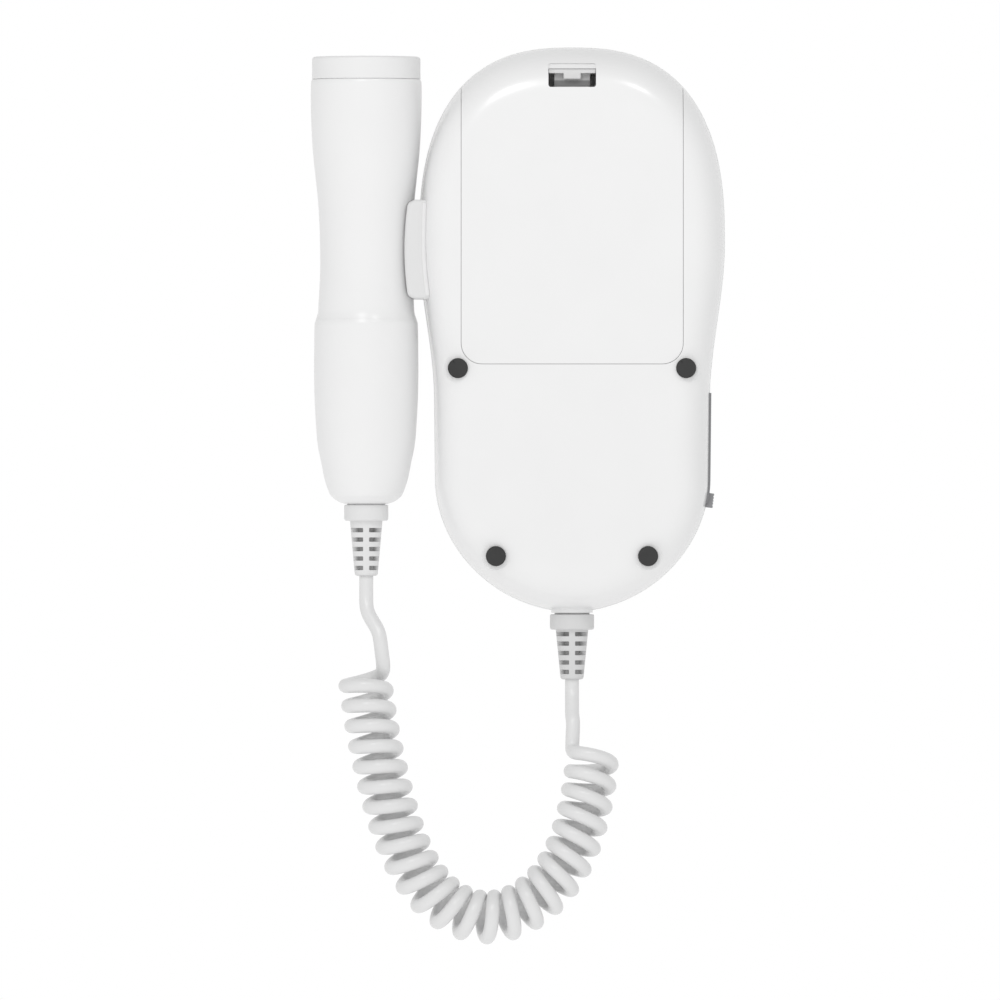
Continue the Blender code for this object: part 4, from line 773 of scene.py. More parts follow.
def rear_fittings():
    """The bay for the cells, the latch's well and the screw bosses, as one block."""
    low_y = BAY_LOW_Y - BAY_WALL
    high_y = BAY_HIGH_Y + BAY_WALL
    half = BAY_HALF_WIDTH + BAY_WALL
    outer_zs = (KEEPER_Z, BAY_TOP_Z + BAY_WALL)
    inner_zs = (KEEPER_Z - OVERRUN, BAY_TOP_Z)
    tub = slab("tub", half, (low_y, high_y), outer_zs)
    cut(tub, slab("tub_inner", BAY_HALF_WIDTH, (BAY_LOW_Y, BAY_HIGH_Y), inner_zs))
    join(tub, slab("tub_foot", half, (low_y, BAY_LOW_Y), (BACK_Z + COVER_THICKNESS / 2, KEEPER_Z + BAY_WALL)))
    well_end = TOP_Y - WINDOW_START
    well = slab("well", WELL_HALF_WIDTH + BAY_WALL, (BAY_HIGH_Y + BAY_WALL / 2, well_end), outer_zs)
    cut(well, slab("well_inner", WELL_HALF_WIDTH, (high_y, well_end - KEEPER_THICKNESS), inner_zs))
    return join(tub, well, *[cylinder("boss", BOSS_RADIUS, x, y, BACK_Z + WALL / 2, PART_Z - GAP / 2)
                             for corner, x, y in foot_places()])


def cover_ledges(shell):
    """Two ledges beside the opening, which the cover's rails slide behind."""
    low_z = BACK_Z + COVER_THICKNESS + GAP
    high_z = low_z + LEDGE_THICKNESS
    low_y = COVER_Y + RAIL_START - GAP
    ys = (low_y, low_y + RAIL_LENGTH)
    edge = COVER_HALF_WIDTH + GAP
    root = edge + LEDGE_THICKNESS
    for sign in (-1, 1):
        ledge = side_box("ledge", sign, RAIL_HALF_GAUGE + GAP, root, ys, (low_z, high_z))
        heel = side_box("heel", sign, edge, root, ys, (BACK_Z + COVER_THICKNESS / 2, high_z))
        join(shell, join(ledge, heel))


PROBE_TIP_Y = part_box("probe_strain_relief")[0].y
MAIN_TIP_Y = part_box("main_strain_relief")[0].y
MAIN_COLLAR = 0.0037
MAIN_TAPER = 0.0119
RELIEF_NECK_RADIUS = 0.0042
EXIT_BOSS_RADIUS = 0.0050
EXIT_BOSS_GAP = 0.0004
EXIT_BOSS_END = MAIN_TIP_Y + MAIN_TAPER + MAIN_COLLAR + EXIT_BOSS_GAP
PANEL_LENGTH = 0.0265
PANEL_WIDTH = 0.0058
PANEL_PROUD = 0.0003
PANEL_THICKNESS = 0.0016
PANEL_TOP_DROP = TOP_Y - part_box("side_panel")[1].y
PANEL_END_DROP = PANEL_TOP_DROP + PANEL_LENGTH
KNOB_LENGTH = 0.0035
KNOB_WIDTH = 0.0040
KNOB_STEM = 0.0010
KNOB_PROUD = 0.0015
KNOB_HEIGHT = 0.0018
KNOB_EDGE = 0.0002
KNOB_GROOVES = (-1.5, -0.5, 0.5, 1.5)
GROOVE_DEPTH = 0.4 * GAP
KNOB_TILT = math.radians(7.0)
KNOB_REST = 0.0257
KNOB_DROP = PANEL_TOP_DROP + KNOB_REST
SLIDER_TRAVEL = 0.0130
SOCKET_RADIUS = 0.0026
SOCKET_BORE_RADIUS = 0.0018
SOCKET_LENGTH = 0.0110
SOCKET_LIP = 0.0002
SOCKET_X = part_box("headphone_jack")[0].x - GAP
SOCKET_Y = middle_of("headphone_jack")[1]
cradle_low, cradle_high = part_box("probe_cradle")
CRADLE_MIDDLE = (cradle_low.y + cradle_high.y) / 2
CRADLE_LENGTH = cradle_high.y - cradle_low.y
CRADLE_TONGUE = 0.0030
CRADLE_TONGUE_THICKNESS = 0.0024
CRADLE_TONGUE_LENGTH = 0.0180


def socket_turned(name, profile, capped=True):
    """A solid turned about the headphone socket's line."""
    return turned(name, profile, SMALL_SIDES, (0.0, SOCKET_Y, PART_Z), "X", capped)


def socket_bore(margin):
    return socket_turned("socket_bore", [(SOCKET_RADIUS + margin, SOCKET_X - OVERRUN),
                                         (SOCKET_RADIUS + margin, SOCKET_X + SOCKET_LENGTH)])


def cradle_tongue(name, margin, outward):
    """The cradle's tongue between the shells, or with a margin the slot that it fills."""
    side = BODY_X + BODY_HALF_WIDTH
    reach = CRADLE_TONGUE_LENGTH / 2 + margin
    height = CRADLE_TONGUE_THICKNESS / 2 + margin
    return box(name, (side - CRADLE_TONGUE - margin, CRADLE_MIDDLE - reach, PART_Z - height),
               (side + outward, CRADLE_MIDDLE + reach, PART_Z + height))


def side_cuts(shell, back):
    """The cord's exit in its boss, the side panel's seat, the ways behind it, and the cradle's slot."""
    direction = -1 if back else 1
    boss = rod("exit_boss", EXIT_BOSS_RADIUS, EXIT_BOSS_END, BOTTOM_Y + WALL + OVERRUN, BODY_X)
    keep(boss, slab("boss_half", EXIT_BOSS_RADIUS * 2, (EXIT_BOSS_END - OVERRUN, BOTTOM_Y + 4 * OVERRUN),
                    sorted((PART_Z + direction * GAP / 2, PART_Z + direction * OVERRUN * 4))))
    join(shell, boss)
    exit_hole = rod("exit_hole", RELIEF_NECK_RADIUS + GAP, BOTTOM_Y - OVERRUN,
                    BOTTOM_Y + WALL + PARTING_STEP + OVERRUN, BODY_X)
    seat = band("panel_seat", OVERRUN, PANEL_THICKNESS - PANEL_PROUD + GAP, PANEL_TOP_DROP - SEAM,
                PANEL_END_DROP + SEAM, PANEL_WIDTH / 2 + SEAM)
    way = band("slider_way", OVERRUN, WALL + OVERRUN, KNOB_DROP - SLIDER_TRAVEL - KNOB_LENGTH / 2,
               KNOB_DROP + KNOB_LENGTH / 4, KNOB_STEM / 2 + GAP)
    return cut(shell, exit_hole, seat, way, socket_bore(GAP), cradle_tongue("tongue_slot", GAP, OVERRUN))


def rear_shell():
    shell = join(hollow_case("rear_shell_skin", True), rear_fittings())
    opening = half_case("opening", -OVERRUN, True, -OVERRUN)
    cut(opening, half_case("opening_floor", COVER_THICKNESS + GAP, True, -2 * OVERRUN))
    keep(opening, cover_prism("opening_edge", SEAM / 2, PART_Z + OVERRUN / 2))
    cover_ledges(cut(shell, opening))
    seat = BACK_Z + FOOT_SEAT
    head = seat + GAP + SCREW_HEAD_LENGTH + GAP
    for corner, x, y in foot_places():
        cut(shell, cylinder("foot_seat", FOOT_RADIUS + SEAM / 2, x, y, -OVERRUN, seat),
            cylinder("head_seat", SCREW_HEAD_RADIUS + GAP / 2, x, y, seat - GAP, head),
            cylinder("screw_hole", SCREW_SHANK_RADIUS + GAP, x, y, head - GAP, PART_Z + OVERRUN))
    return side_cuts(shell, True)


# Front of the unit

LENS_THICKNESS = 0.0008
LENS_LEDGE = 0.0015
LENS_CORNER_RADIUS = 0.0040
BUTTON_RADIUS = 0.0055
BUTTON_PROUD = 0.0010
BUTTON_FLANGE = 0.0008
BUTTON_STEM = 0.0015
BUTTON_RIM = 0.0005
BUTTONS = ("power_button", "mode_button")
DISH_DEPTH = 0.00035
DISH_CENTRE = 0.0003
DISH_STEPS = 8
GRILLE_SLOTS = 5
GRILLE_PITCH = 0.0030
GRILLE_SLOT_WIDTH = 0.0012
GRILLE_ROUND = 0.499
lens_low, lens_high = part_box("display_window")
speaker_low, speaker_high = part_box("speaker")
SPEAKER_RADIUS = (speaker_high.x - speaker_low.x) / 2


def lens_prism(name, grow, low, high):
    margin = GAP / 2 + grow
    plan = rounded_plan((lens_low.x - margin, lens_low.y - margin),
                        (lens_high.x + margin, lens_high.y + margin), LENS_CORNER_RADIUS + grow)
    return prism(name, plan, low, high)


def front_shell():
    shell = hollow_case("front_shell_skin", False)
    inner_z = FRONT_Z - WALL
    posts = join(*[cylinder("post", BOSS_RADIUS, x, y, PART_Z + GAP / 2, FRONT_Z)
                   for corner, x, y in foot_places()])
    join(shell, keep(posts, half_case("post_limit", WALL / 2, False, -OVERRUN)))
    for corner, x, y in foot_places():
        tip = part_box(f"case_screw_{corner}")[1].z + GAP
        cut(shell, cylinder("thread_hole", SCREW_SHANK_RADIUS + GAP, x, y, PART_Z - OVERRUN, tip))
    cut(shell, lens_prism("lens_seat", 0.0, FRONT_Z - LENS_THICKNESS - GAP, FRONT_Z + OVERRUN),
        lens_prism("lens_way", -LENS_LEDGE, inner_z - OVERRUN, FRONT_Z))
    way = BUTTON_RADIUS + GAP
    profile = [(way, inner_z - OVERRUN)]
    profile += [(way + GAP * share, FRONT_Z - GAP + GAP * share) for share in (0.0, 0.5, 1.0)]
    profile.append((way + GAP + OVERRUN, FRONT_Z + OVERRUN))
    for button in BUTTONS:
        cut(shell, turned("button_way", profile, SMALL_SIDES * 2, (*middle_of(button), 0.0)))
    for slot in range(GRILLE_SLOTS):
        offset = (slot - (GRILLE_SLOTS - 1) / 2) * GRILLE_PITCH
        half = math.sqrt((SPEAKER_RADIUS - GRILLE_PITCH) ** 2 - offset ** 2)
        y = middle_of("speaker")[1] + offset
        plan = rounded_plan((BODY_X - half, y - GRILLE_SLOT_WIDTH / 2),
                            (BODY_X + half, y + GRILLE_SLOT_WIDTH / 2), GRILLE_SLOT_WIDTH * GRILLE_ROUND)
        cut(shell, prism("grille", plan, inner_z - OVERRUN, FRONT_Z + OVERRUN))
    return side_cuts(shell, False)


def push_button(name):
    """A button with a shallow thumb dish, a rounded rim, its flange and its stem."""
    inner_z = FRONT_Z - WALL - GAP
    top = FRONT_Z + BUTTON_PROUD
    flange = BUTTON_RADIUS + BUTTON_FLANGE
    profile = [(BUTTON_STEM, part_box(name)[0].z), (BUTTON_STEM, inner_z - BUTTON_FLANGE),
               (flange, inner_z - BUTTON_FLANGE), (flange, inner_z), (BUTTON_RADIUS, inner_z)]
    profile += high_edge(BUTTON_RADIUS, top, BUTTON_RIM)
    for step in range(1, DISH_STEPS + 1):
        share = step / DISH_STEPS
        radius = (BUTTON_RADIUS - BUTTON_RIM) * (1 - share) + DISH_CENTRE * share
        profile.append((radius, top - DISH_DEPTH * math.sin(math.pi / 2 * share)))
    return turned(f"{name}_cap", profile, ROUND_SIDES, (*middle_of(name), 0.0))


# Side strip, knob, socket, feet

def side_panel():
    panel = band("side_strip", PANEL_PROUD, PANEL_THICKNESS - PANEL_PROUD, PANEL_TOP_DROP, PANEL_END_DROP,
                 PANEL_WIDTH / 2)
    slot = band("panel_slot", OVERRUN, PANEL_THICKNESS + OVERRUN,
                KNOB_DROP - SLIDER_TRAVEL - KNOB_LENGTH / 2 - GAP, PANEL_END_DROP + OVERRUN,
                KNOB_WIDTH / 2 + GAP)
    return cut(panel, slot, socket_bore(SEAM))


def volume_knob():
    """The slider's knob: a ridged cap on a stem, tilted with the case's side."""
    half = KNOB_LENGTH / 2
    side = BODY_X - half_width(KNOB_DROP)
    knob = box("volume_slider_cap", (-KNOB_PROUD, -half, -KNOB_WIDTH / 2),
               (KNOB_HEIGHT - KNOB_PROUD, half, KNOB_WIDTH / 2), KNOB_EDGE)
    for step in KNOB_GROOVES:
        y = step * KNOB_LENGTH / 5
        cut(knob, box("groove", (-KNOB_PROUD - GAP, y - GAP / 2, -KNOB_WIDTH),
                      (-KNOB_PROUD + GROOVE_DEPTH, y + GAP / 2, KNOB_WIDTH)))
    join(knob, box("knob_stem", (0.0, -half / 2, -KNOB_STEM / 2),
                   (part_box("volume_knob")[1].x - side, half / 2, KNOB_STEM / 2)))
    knob.data.transform(Matrix.Rotation(KNOB_TILT, 4, "Z"))
    knob.data.transform(Matrix.Translation((side, TOP_Y - KNOB_DROP, PART_Z)))
    return knob


def headphone_jack():
    start = SOCKET_X + GAP
    edge = start + SOCKET_LIP
    end = SOCKET_X + SOCKET_LENGTH
    narrow = SOCKET_BORE_RADIUS / 2
    return socket_turned("headphone_socket", [
        (SOCKET_RADIUS - SOCKET_LIP, start), (SOCKET_RADIUS, edge), (SOCKET_RADIUS, end), (narrow, end),
        (narrow, end - WALL), (SOCKET_BORE_RADIUS, end - WALL), (SOCKET_BORE_RADIUS, edge),
        (SOCKET_BORE_RADIUS + SOCKET_LIP, start)], False)


def rubber_foot(corner, x, y):
    """A pressed-in rubber foot with a rounded rim."""
    profile = [(FOOT_CENTRE, 0.0), (FOOT_RADIUS * FOOT_FLAT, 0.0), *low_edge(FOOT_RADIUS, 0.0, FOOT_RIM),
               (FOOT_RADIUS, BACK_Z + FOOT_SEAT - GAP)]
    return turned(f"foot_pad_{corner}", profile, SMALL_SIDES, (x, y, 0.0))


# Probe, cradle and strain reliefs

grip_low, grip_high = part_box("probe_grip")
barrel_low, barrel_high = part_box("probe_barrel")
cap_low, cap_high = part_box("probe_face_cap")
PROBE_X = (barrel_low.x + barrel_high.x) / 2
PROBE_END_EXTRA = 0.00045
PROBE_TOP_Y = cap_high.y
PROBE_END_Y = grip_low.y - PROBE_END_EXTRA
PROBE_LENGTH = PROBE_TOP_Y - PROBE_END_Y
PROBE_RADIUS = 0.01336
PROBE_WALL = 0.0016
CAP_SEAM_Y = (cap_low.y + barrel_high.y) / 2
JOINT_SEAM_Y = (barrel_low.y + grip_high.y) / 2
CAP_ROUND = 0.0007
CAP_RINGS = 6
CAP_CENTRE = 0.0002
SEAM_ROUND = 0.00025
TIGHT_JOINT = 0.000006
PROFILE_PIECES = 6
PROBE_PROFILE_SHARES = ((0.0, 0.973), (0.046, 0.975), (0.056, 0.992), (0.10, 0.996), (0.157, 0.984),
                        (0.21, 0.960), (0.263, 0.917), (0.318, 0.870), (0.371, 0.843), (0.43, 0.828),
                        (0.489, 0.830), (0.551, 0.857), (0.573, 0.868), (0.590, 0.910), (0.604, 0.929),
                        (0.658, 0.935), (0.712, 0.937), (0.766, 0.928), (0.838, 0.896), (0.874, 0.865),
                        (0.910, 0.805), (0.946, 0.747), (0.978, 0.655), (0.988, 0.585), (0.995, 0.510),
                        (1.0, 0.400))
PROBE_CURVE = [(PROBE_TOP_Y - point.x * PROBE_LENGTH, point.y * PROBE_RADIUS)
               for point in curve(PROBE_PROFILE_SHARES, PROFILE_PIECES, through_points)]


def probe_radius(y):
    """The probe's radius at a height along its axis."""
    for (high, upper), (low, lower) in zip(PROBE_CURVE, PROBE_CURVE[1:]):
        if y >= low:
            share = (high - y) / (high - low) if high > low else 0.0
            return upper + (lower - upper) * share
    return PROBE_CURVE[-1][1]


def probe_stretch(low, high, grow=0.0):
    """(radius, height) pairs up +Y between two heights."""
    rows = [(probe_radius(low) + grow, low)]
    rows += [(radius + grow, y) for y, radius in reversed(PROBE_CURVE) if low < y < high]
    return rows + [(probe_radius(high) + grow, high)]


def probe_upper_tube(low, high):
    """The barrel, its edge rounded at the cap's seam, as one closed skin."""
    outer = [row for row in probe_stretch(low, high) if row[1] < high - SEAM_ROUND]
    outer += high_edge(probe_radius(high), high, SEAM_ROUND, 4)
    inner = probe_stretch(low, high, -PROBE_WALL)
    return lengthwise("probe_upper_tube", outer + inner[::-1], PROBE_X, ROUND_SIDES, False)


def probe_lower_tube(low, high):
    """The grip, with a floor round the strain relief's neck, as one closed skin."""
    inner = probe_stretch(low + 2 * PROBE_WALL, high, -PROBE_WALL)
    hole = RELIEF_NECK_RADIUS + GAP
    floor = [(hole, low), (hole, low + PROBE_WALL), (inner[0][0] - PROBE_WALL, low + PROBE_WALL)]
    profile = probe_stretch(low, high) + (floor + inner)[::-1]
    return lengthwise("probe_lower_tube", profile, PROBE_X, ROUND_SIDES, False)


def probe_face_cap():
    """The acoustic face: a cup over the crystals, with a rounded rim and a flat face."""
    rim = probe_radius(PROBE_TOP_Y)
    low = CAP_SEAM_Y + HAIRLINE
    side = probe_stretch(low, PROBE_TOP_Y - CAP_ROUND)
    profile = low_edge(side[0][0], low, SEAM_ROUND, 4) + [row for row in side if row[1] > low + SEAM_ROUND]
    profile += high_edge(rim, PROBE_TOP_Y, CAP_ROUND, 6, 1)
    profile += [((rim - CAP_ROUND) * (1 - ring / CAP_RINGS), PROBE_TOP_Y) for ring in range(1, CAP_RINGS)]
    inner = rim - PROBE_WALL
    floor = PROBE_TOP_Y - PROBE_WALL
    profile += [(CAP_CENTRE, PROBE_TOP_Y), (CAP_CENTRE, floor), (inner, floor), (inner, low)]
    return lengthwise("probe_face_cup", profile, PROBE_X, ROUND_SIDES, False)


CRADLE_HALF_HEIGHT = 0.0093
CRADLE_CLEARANCE = 0.0003
CRADLE_TIP_LOSS = 0.0008
CRADLE_CORNER = 0.0024
CRADLE_EDGE = 0.0008
CRADLE_TIP_STEPS = 20
CRADLE_BEAD = 0.0007
BEAD_OUT = 0.7
BEAD_STEPS = 16
BEAD_SIDES = 20
CRADLE_REACH = 0.0402
CRADLE_TIP_X = BODY_X + CRADLE_REACH


def cradle_bead(low, high):
    """The rounded bead along the cradle's rear face, beside the case."""
    down_share = CRADLE_HALF_HEIGHT / REAR_DEPTH
    inward = 1 - (1 - down_share ** ROLL_POWER) ** (1 / ROLL_POWER)
    points = []
    for step in range(BEAD_STEPS + 1):
        y = low + (high - low) * step / BEAD_STEPS
        side = BODY_X + half_width(TOP_Y - y) - PARTING_STEP - REAR_SIDE_ROLL * inward
        points.append(Vector((side + CRADLE_BEAD * BEAD_OUT, y,
                              PART_Z - CRADLE_HALF_HEIGHT + CRADLE_BEAD / 2)))
    return tube_along("cradle_bead", points, CRADLE_BEAD, BEAD_SIDES)


def probe_cradle():
    """The side clip: a block hollowed to the probe's waist, with a tongue between the shells."""
    low = CRADLE_MIDDLE - CRADLE_LENGTH / 2
    high = CRADLE_MIDDLE + CRADLE_LENGTH / 2
    inner_x = BODY_X + BODY_HALF_WIDTH - CRADLE_TONGUE
    plan = [(inner_x, high), (inner_x, low), (CRADLE_TIP_X - CRADLE_CORNER, low)]
    for step in range(CRADLE_TIP_STEPS + 1):
        share = 2 * step / CRADLE_TIP_STEPS - 1
        plan.append((CRADLE_TIP_X - CRADLE_TIP_LOSS * share ** 2,
                     CRADLE_MIDDLE + share * (CRADLE_LENGTH / 2 - CRADLE_EDGE)))
    plan.append((CRADLE_TIP_X - CRADLE_CORNER, high))
    cradle = prism("probe_cradle_clip", plan, PART_Z - CRADLE_HALF_HEIGHT, PART_Z + CRADLE_HALF_HEIGHT)
    round_edges(cradle, CRADLE_EDGE)
    waist = probe_stretch(low - CRADLE_EDGE * 3, high + CRADLE_EDGE * 3, CRADLE_CLEARANCE)
    cut(cradle, lengthwise("cradle_hollow", waist, PROBE_X, 2 * ROUND_SIDES))
    join(cradle, cradle_bead(low + CRADLE_EDGE, high - CRADLE_EDGE))
    for back in (True, False):
        cut(cradle, half_case("cradle_seat", -HAIRLINE, back, -GAP))
    return join(cradle, cradle_tongue("tongue", 0.0, CRADLE_EDGE))


COLLAR_RADIUS = 0.0053
RELIEF_ROOT_RADIUS = 0.0039
RELIEF_TIP_RADIUS = 0.0028
RELIEF_NECK_LENGTH = 0.0046
RELIEF_FLANGE_LENGTH = 0.0012
RELIEF_SLOT_ROWS = 5
RELIEF_SLOT_PITCH = 0.00227
RELIEF_SLOT_HEIGHT = 0.00105
RELIEF_SLOT_ROUND = 0.00018
RELIEF_RIB_WIDTH = 0.00145
RELIEF_WEB = 0.0003
RELIEF_CORE_RADIUS = 0.00175
COLLAR_ROUND = 0.0006
TIP_ROUND = 0.0007
TAPER_RINGS = 8
RELIEF_SIDES = 72
# Each relief's collar and taper length, the slots' start below the collar, the standoff from its
# housing, and the radius between the two
MAIN_RELIEF = (MAIN_COLLAR, MAIN_TAPER, 0.0005, 0.0008, 0.0042)
PROBE_RELIEF = (0.00385, 0.0132, 0.0017, 0.00036, 0.0046)


def strain_relief(name, tip, x, sizes):
    """A moulded relief: flange and neck in the housing, a rounded collar, then a slotted taper."""
    collar, taper, slot_start, standoff, groove = sizes
    root = tip + taper
    face = root + collar
    housing = face + standoff - HAIRLINE
    flange = face + RELIEF_NECK_LENGTH
    profile = low_edge(RELIEF_TIP_RADIUS, tip, TIP_ROUND)
    for ring in range(1, TAPER_RINGS + 1):
        share = ring / TAPER_RINGS
        profile.append((RELIEF_TIP_RADIUS + (RELIEF_ROOT_RADIUS - RELIEF_TIP_RADIUS) * share,
                        tip + TIP_ROUND + (taper - TIP_ROUND) * share))
    profile += low_edge(COLLAR_RADIUS, root + HAIRLINE / 2, COLLAR_ROUND)
    profile += high_edge(COLLAR_RADIUS, face, COLLAR_ROUND / 2, 5, 1)
    profile += [(groove, face), (groove, housing), (RELIEF_NECK_RADIUS, housing),
                (RELIEF_NECK_RADIUS, flange), (COLLAR_RADIUS, flange),
                (COLLAR_RADIUS, flange + RELIEF_FLANGE_LENGTH)]
    relief = lengthwise(name, profile, x, RELIEF_SIDES)
    reach = COLLAR_RADIUS + GAP
    for row in range(RELIEF_SLOT_ROWS):
        high = root - slot_start - row * RELIEF_SLOT_PITCH
        for x_sign in (-1, 1):
            for z_sign in (-1, 1):
                x_low, x_high = sorted((x + x_sign * RELIEF_RIB_WIDTH / 2, x + x_sign * reach))
                z_low, z_high = sorted((PART_Z + z_sign * RELIEF_WEB, PART_Z + z_sign * reach))
                cut(relief, box("slot", (x_low, high - RELIEF_SLOT_HEIGHT, z_low), (x_high, high, z_high),
                                RELIEF_SLOT_ROUND))
    return join(relief, rod("core", RELIEF_CORE_RADIUS, tip + RELIEF_SLOT_HEIGHT / 4, root + collar / 2, x))


# Contact springs

SPRING_WIRE_RADIUS = 0.00035
SPRING_ROOT_RADIUS = 0.0042
SPRING_TIP_RADIUS = 0.0022
SPRING_TURNS = 3
SPRING_STEPS = 40
SPRING_SIDES = 12
CELL_SIDES = {"left": 1, "middle": 0, "right": -1}


def battery_spring(name):
    """A conical spring between its plate and its cell."""
    low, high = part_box(f"battery_spring_{name}")
    x = BODY_X + CELL_SIDES[name] * CELL_SPACING
    root, tip = low.y + SPRING_WIRE_RADIUS, high.y - SPRING_WIRE_RADIUS
    if name == "middle":
        root, tip = tip, root
    points = []
    for step in range(SPRING_TURNS * SPRING_STEPS + 1):
        share = step / (SPRING_TURNS * SPRING_STEPS)
        radius = SPRING_ROOT_RADIUS + (SPRING_TIP_RADIUS - SPRING_ROOT_RADIUS) * share
        turn = 2 * math.pi * SPRING_TURNS * share
        rise = min(1.0, max(0.0, (share * SPRING_TURNS - 0.5) / (SPRING_TURNS - 1)))
        points.append(Vector((x + radius * math.cos(turn), root + (tip - root) * rise,
                              CELL_Z + radius * math.sin(turn))))
    return tube_along(f"cell_spring_{name}", points, SPRING_WIRE_RADIUS, SPRING_SIDES)


# Cord: close to the CAD model's route, as one piece from relief to relief

CORD_RADIUS = 0.0017
CORD_SIDES = 20
CORD_SINK = 0.0004
CURLS = 25
CURL_POINTS = 48
CURL_RADIUS = 0.00483
CURL_SQUEEZE = 0.1
CORD_START_RUN = 0.0034
COIL_RAMP = 0.0018
COIL_AXIS_PIECES = 2400
BEND_SPAN = 30
ROUTE_PIECES = 60
LEAD_PIECES = 12
LEAD_POINTS = 56
RUN_IN = 8
EASING = 25
COIL_ROUTE = ((0.04997, 0.0024, 0.0095), (0.04888, -0.006, 0.0084), (0.04757, -0.014, 0.0073),
              (0.04578, -0.022, 0.0068), (0.04366, -0.0305, 0.00675), (0.04086, -0.0392, 0.00675),
              (0.03672, -0.0476, 0.00675), (0.03048, -0.0544, 0.00675), (0.02148, -0.0578, 0.00675),
              (0.01250, -0.0557, 0.00675), (0.00488, -0.0496, 0.00675), (-0.00030, -0.0410, 0.0068),
              (-0.00308, -0.0310, 0.0073), (-0.00453, -0.0232, 0.0084), (-0.00482, -0.0168, 0.0095))
PROBE_LEAD_ROUTE = ((0.0, -0.00034, 0.0), (0.0, -0.0030, -0.0001), (0.0, -0.0062, -0.0007),
                    (-0.0001, -0.0084, -0.0016), (-0.0016, -0.0110, -0.0029), (-0.0033, -0.0137, -0.0042))
MAIN_LEAD_ROUTE = ((0.0, -0.0003, 0.0), (0.0, -0.0025, -0.0001), (0.0, -0.0048, -0.001),
                   (0.0, -0.007, -0.0023), (0.0, -0.0092, -0.0035))


def coil_line():
    """The curls' centre line: a left-handed helix about the route, straight at both ends."""
    route = [(BODY_X + x, MAIN_TIP_Y + y, z) for x, y, z in COIL_ROUTE]
    axis = even_points(curve(route, ROUTE_PIECES, near_points), COIL_AXIS_PIECES)
    whole = measure(axis)
    piece = whole / COIL_AXIS_PIECES
    up = Vector((0.0, 0.0, 1.0))
    turns = [0.0]
    for step in range(1, COIL_AXIS_PIECES + 1):
        along = piece * (step - 0.5)
        near_end = min(along, whole - along) / COIL_RAMP
        bend = 0.0
        if BEND_SPAN < step < COIL_AXIS_PIECES - BEND_SPAN:
            sag = axis[step + BEND_SPAN] + axis[step - BEND_SPAN] - axis[step] * 2
            bend = sag.length / (BEND_SPAN * piece) ** 2
        squeeze = 1 - bend * CURL_RADIUS * CURL_SQUEEZE
        turns.append(turns[-1] + squeeze * blend_between(0.0, 1.0, min(1.0, near_end)))
    scale = 2 * math.pi * CURLS / turns[-1]
    line = []
    for step, centre in enumerate(axis):
        along = (axis[min(step + 1, COIL_AXIS_PIECES)] - axis[max(step - 1, 0)]).normalized()
        inner = along.cross(up).normalized()
        rise = inner.cross(along).normalized()
        angle = turns[step] * scale
        line.append(centre + (inner * math.cos(angle) + rise * math.sin(angle)) * CURL_RADIUS)
    first = (axis[1] - axis[0]).normalized()
    last = (axis[-1] - axis[-2]).normalized()
    curls = even_points(line, CURLS * CURL_POINTS)
    return [line[0] - first * CORD_START_RUN] + curls + [line[-1] + last * CORD_START_RUN]


def eased_stretch(line, start, end):
    """The same line with one stretch of it made even and its bends eased; the stretch's ends stay."""
    part = even_points(line[start:end], end - start - 1)
    for turn in range(EASING):
        middle = [(part[index - 1] + part[index] * 2 + part[index + 1]) / 4
                  for index in range(2, len(part) - 2)]
        part = part[:2] + middle + part[-2:]
    return line[:start] + part + line[end:]


def lead_line(x, y, route, near, far):
    """A lead from a relief's tip to the coil's end; near and far are the coil's last points there."""
    tip = Vector((x, y, PART_Z))
    way = (near - far).normalized()
    start = near + way * GAP
    points = [tip + Vector((0.0, CORD_SINK, 0.0))] + [tip + Vector(point) for point in route]
    points += [start + way * CORD_RADIUS * 2, start + way * CORD_RADIUS, start]
    return even_points(curve(points, LEAD_PIECES, through_points), LEAD_POINTS)


def cord_line():
    """The whole cord's centre line, from the main relief's tip to the probe relief's tip."""
    coil = coil_line()
    main = lead_line(BODY_X, MAIN_TIP_Y, MAIN_LEAD_ROUTE, coil[-1], coil[-2])
    probe = lead_line(PROBE_X, PROBE_TIP_Y, PROBE_LEAD_ROUTE, coil[0], coil[1])
    line = main + coil[::-1] + probe[::-1]
    return eased_stretch(eased_stretch(line, 0, len(main) + RUN_IN),
                         len(line) - len(probe) - RUN_IN, len(line))


# Display and its window

LENS_PRINT = 0.0026
LENS_EDGE = 0.00012
LCD_MARGIN = 0.0030


def display_window():
    """The window in front of the display, clear in the middle and printed dark round its edge."""
    plan = rounded_plan((lens_low.x, lens_low.y), (lens_high.x, lens_high.y), LENS_CORNER_RADIUS)
    window = round_edges(prism("display_window_pane", plan, FRONT_Z - LENS_THICKNESS, FRONT_Z), LENS_EDGE, 2)
    made = bmesh.new()
    made.from_mesh(window.data)
    widest = sorted(made.faces, key=lambda face: face.calc_area())[-2:]
    bmesh.ops.inset_individual(made, faces=widest, thickness=LENS_PRINT, use_even_offset=True)
    for face in made.faces:
        face.material_index = 1
    for face in widest:
        face.material_index = 0
    made.to_mesh(window.data)
    made.free()
    return window


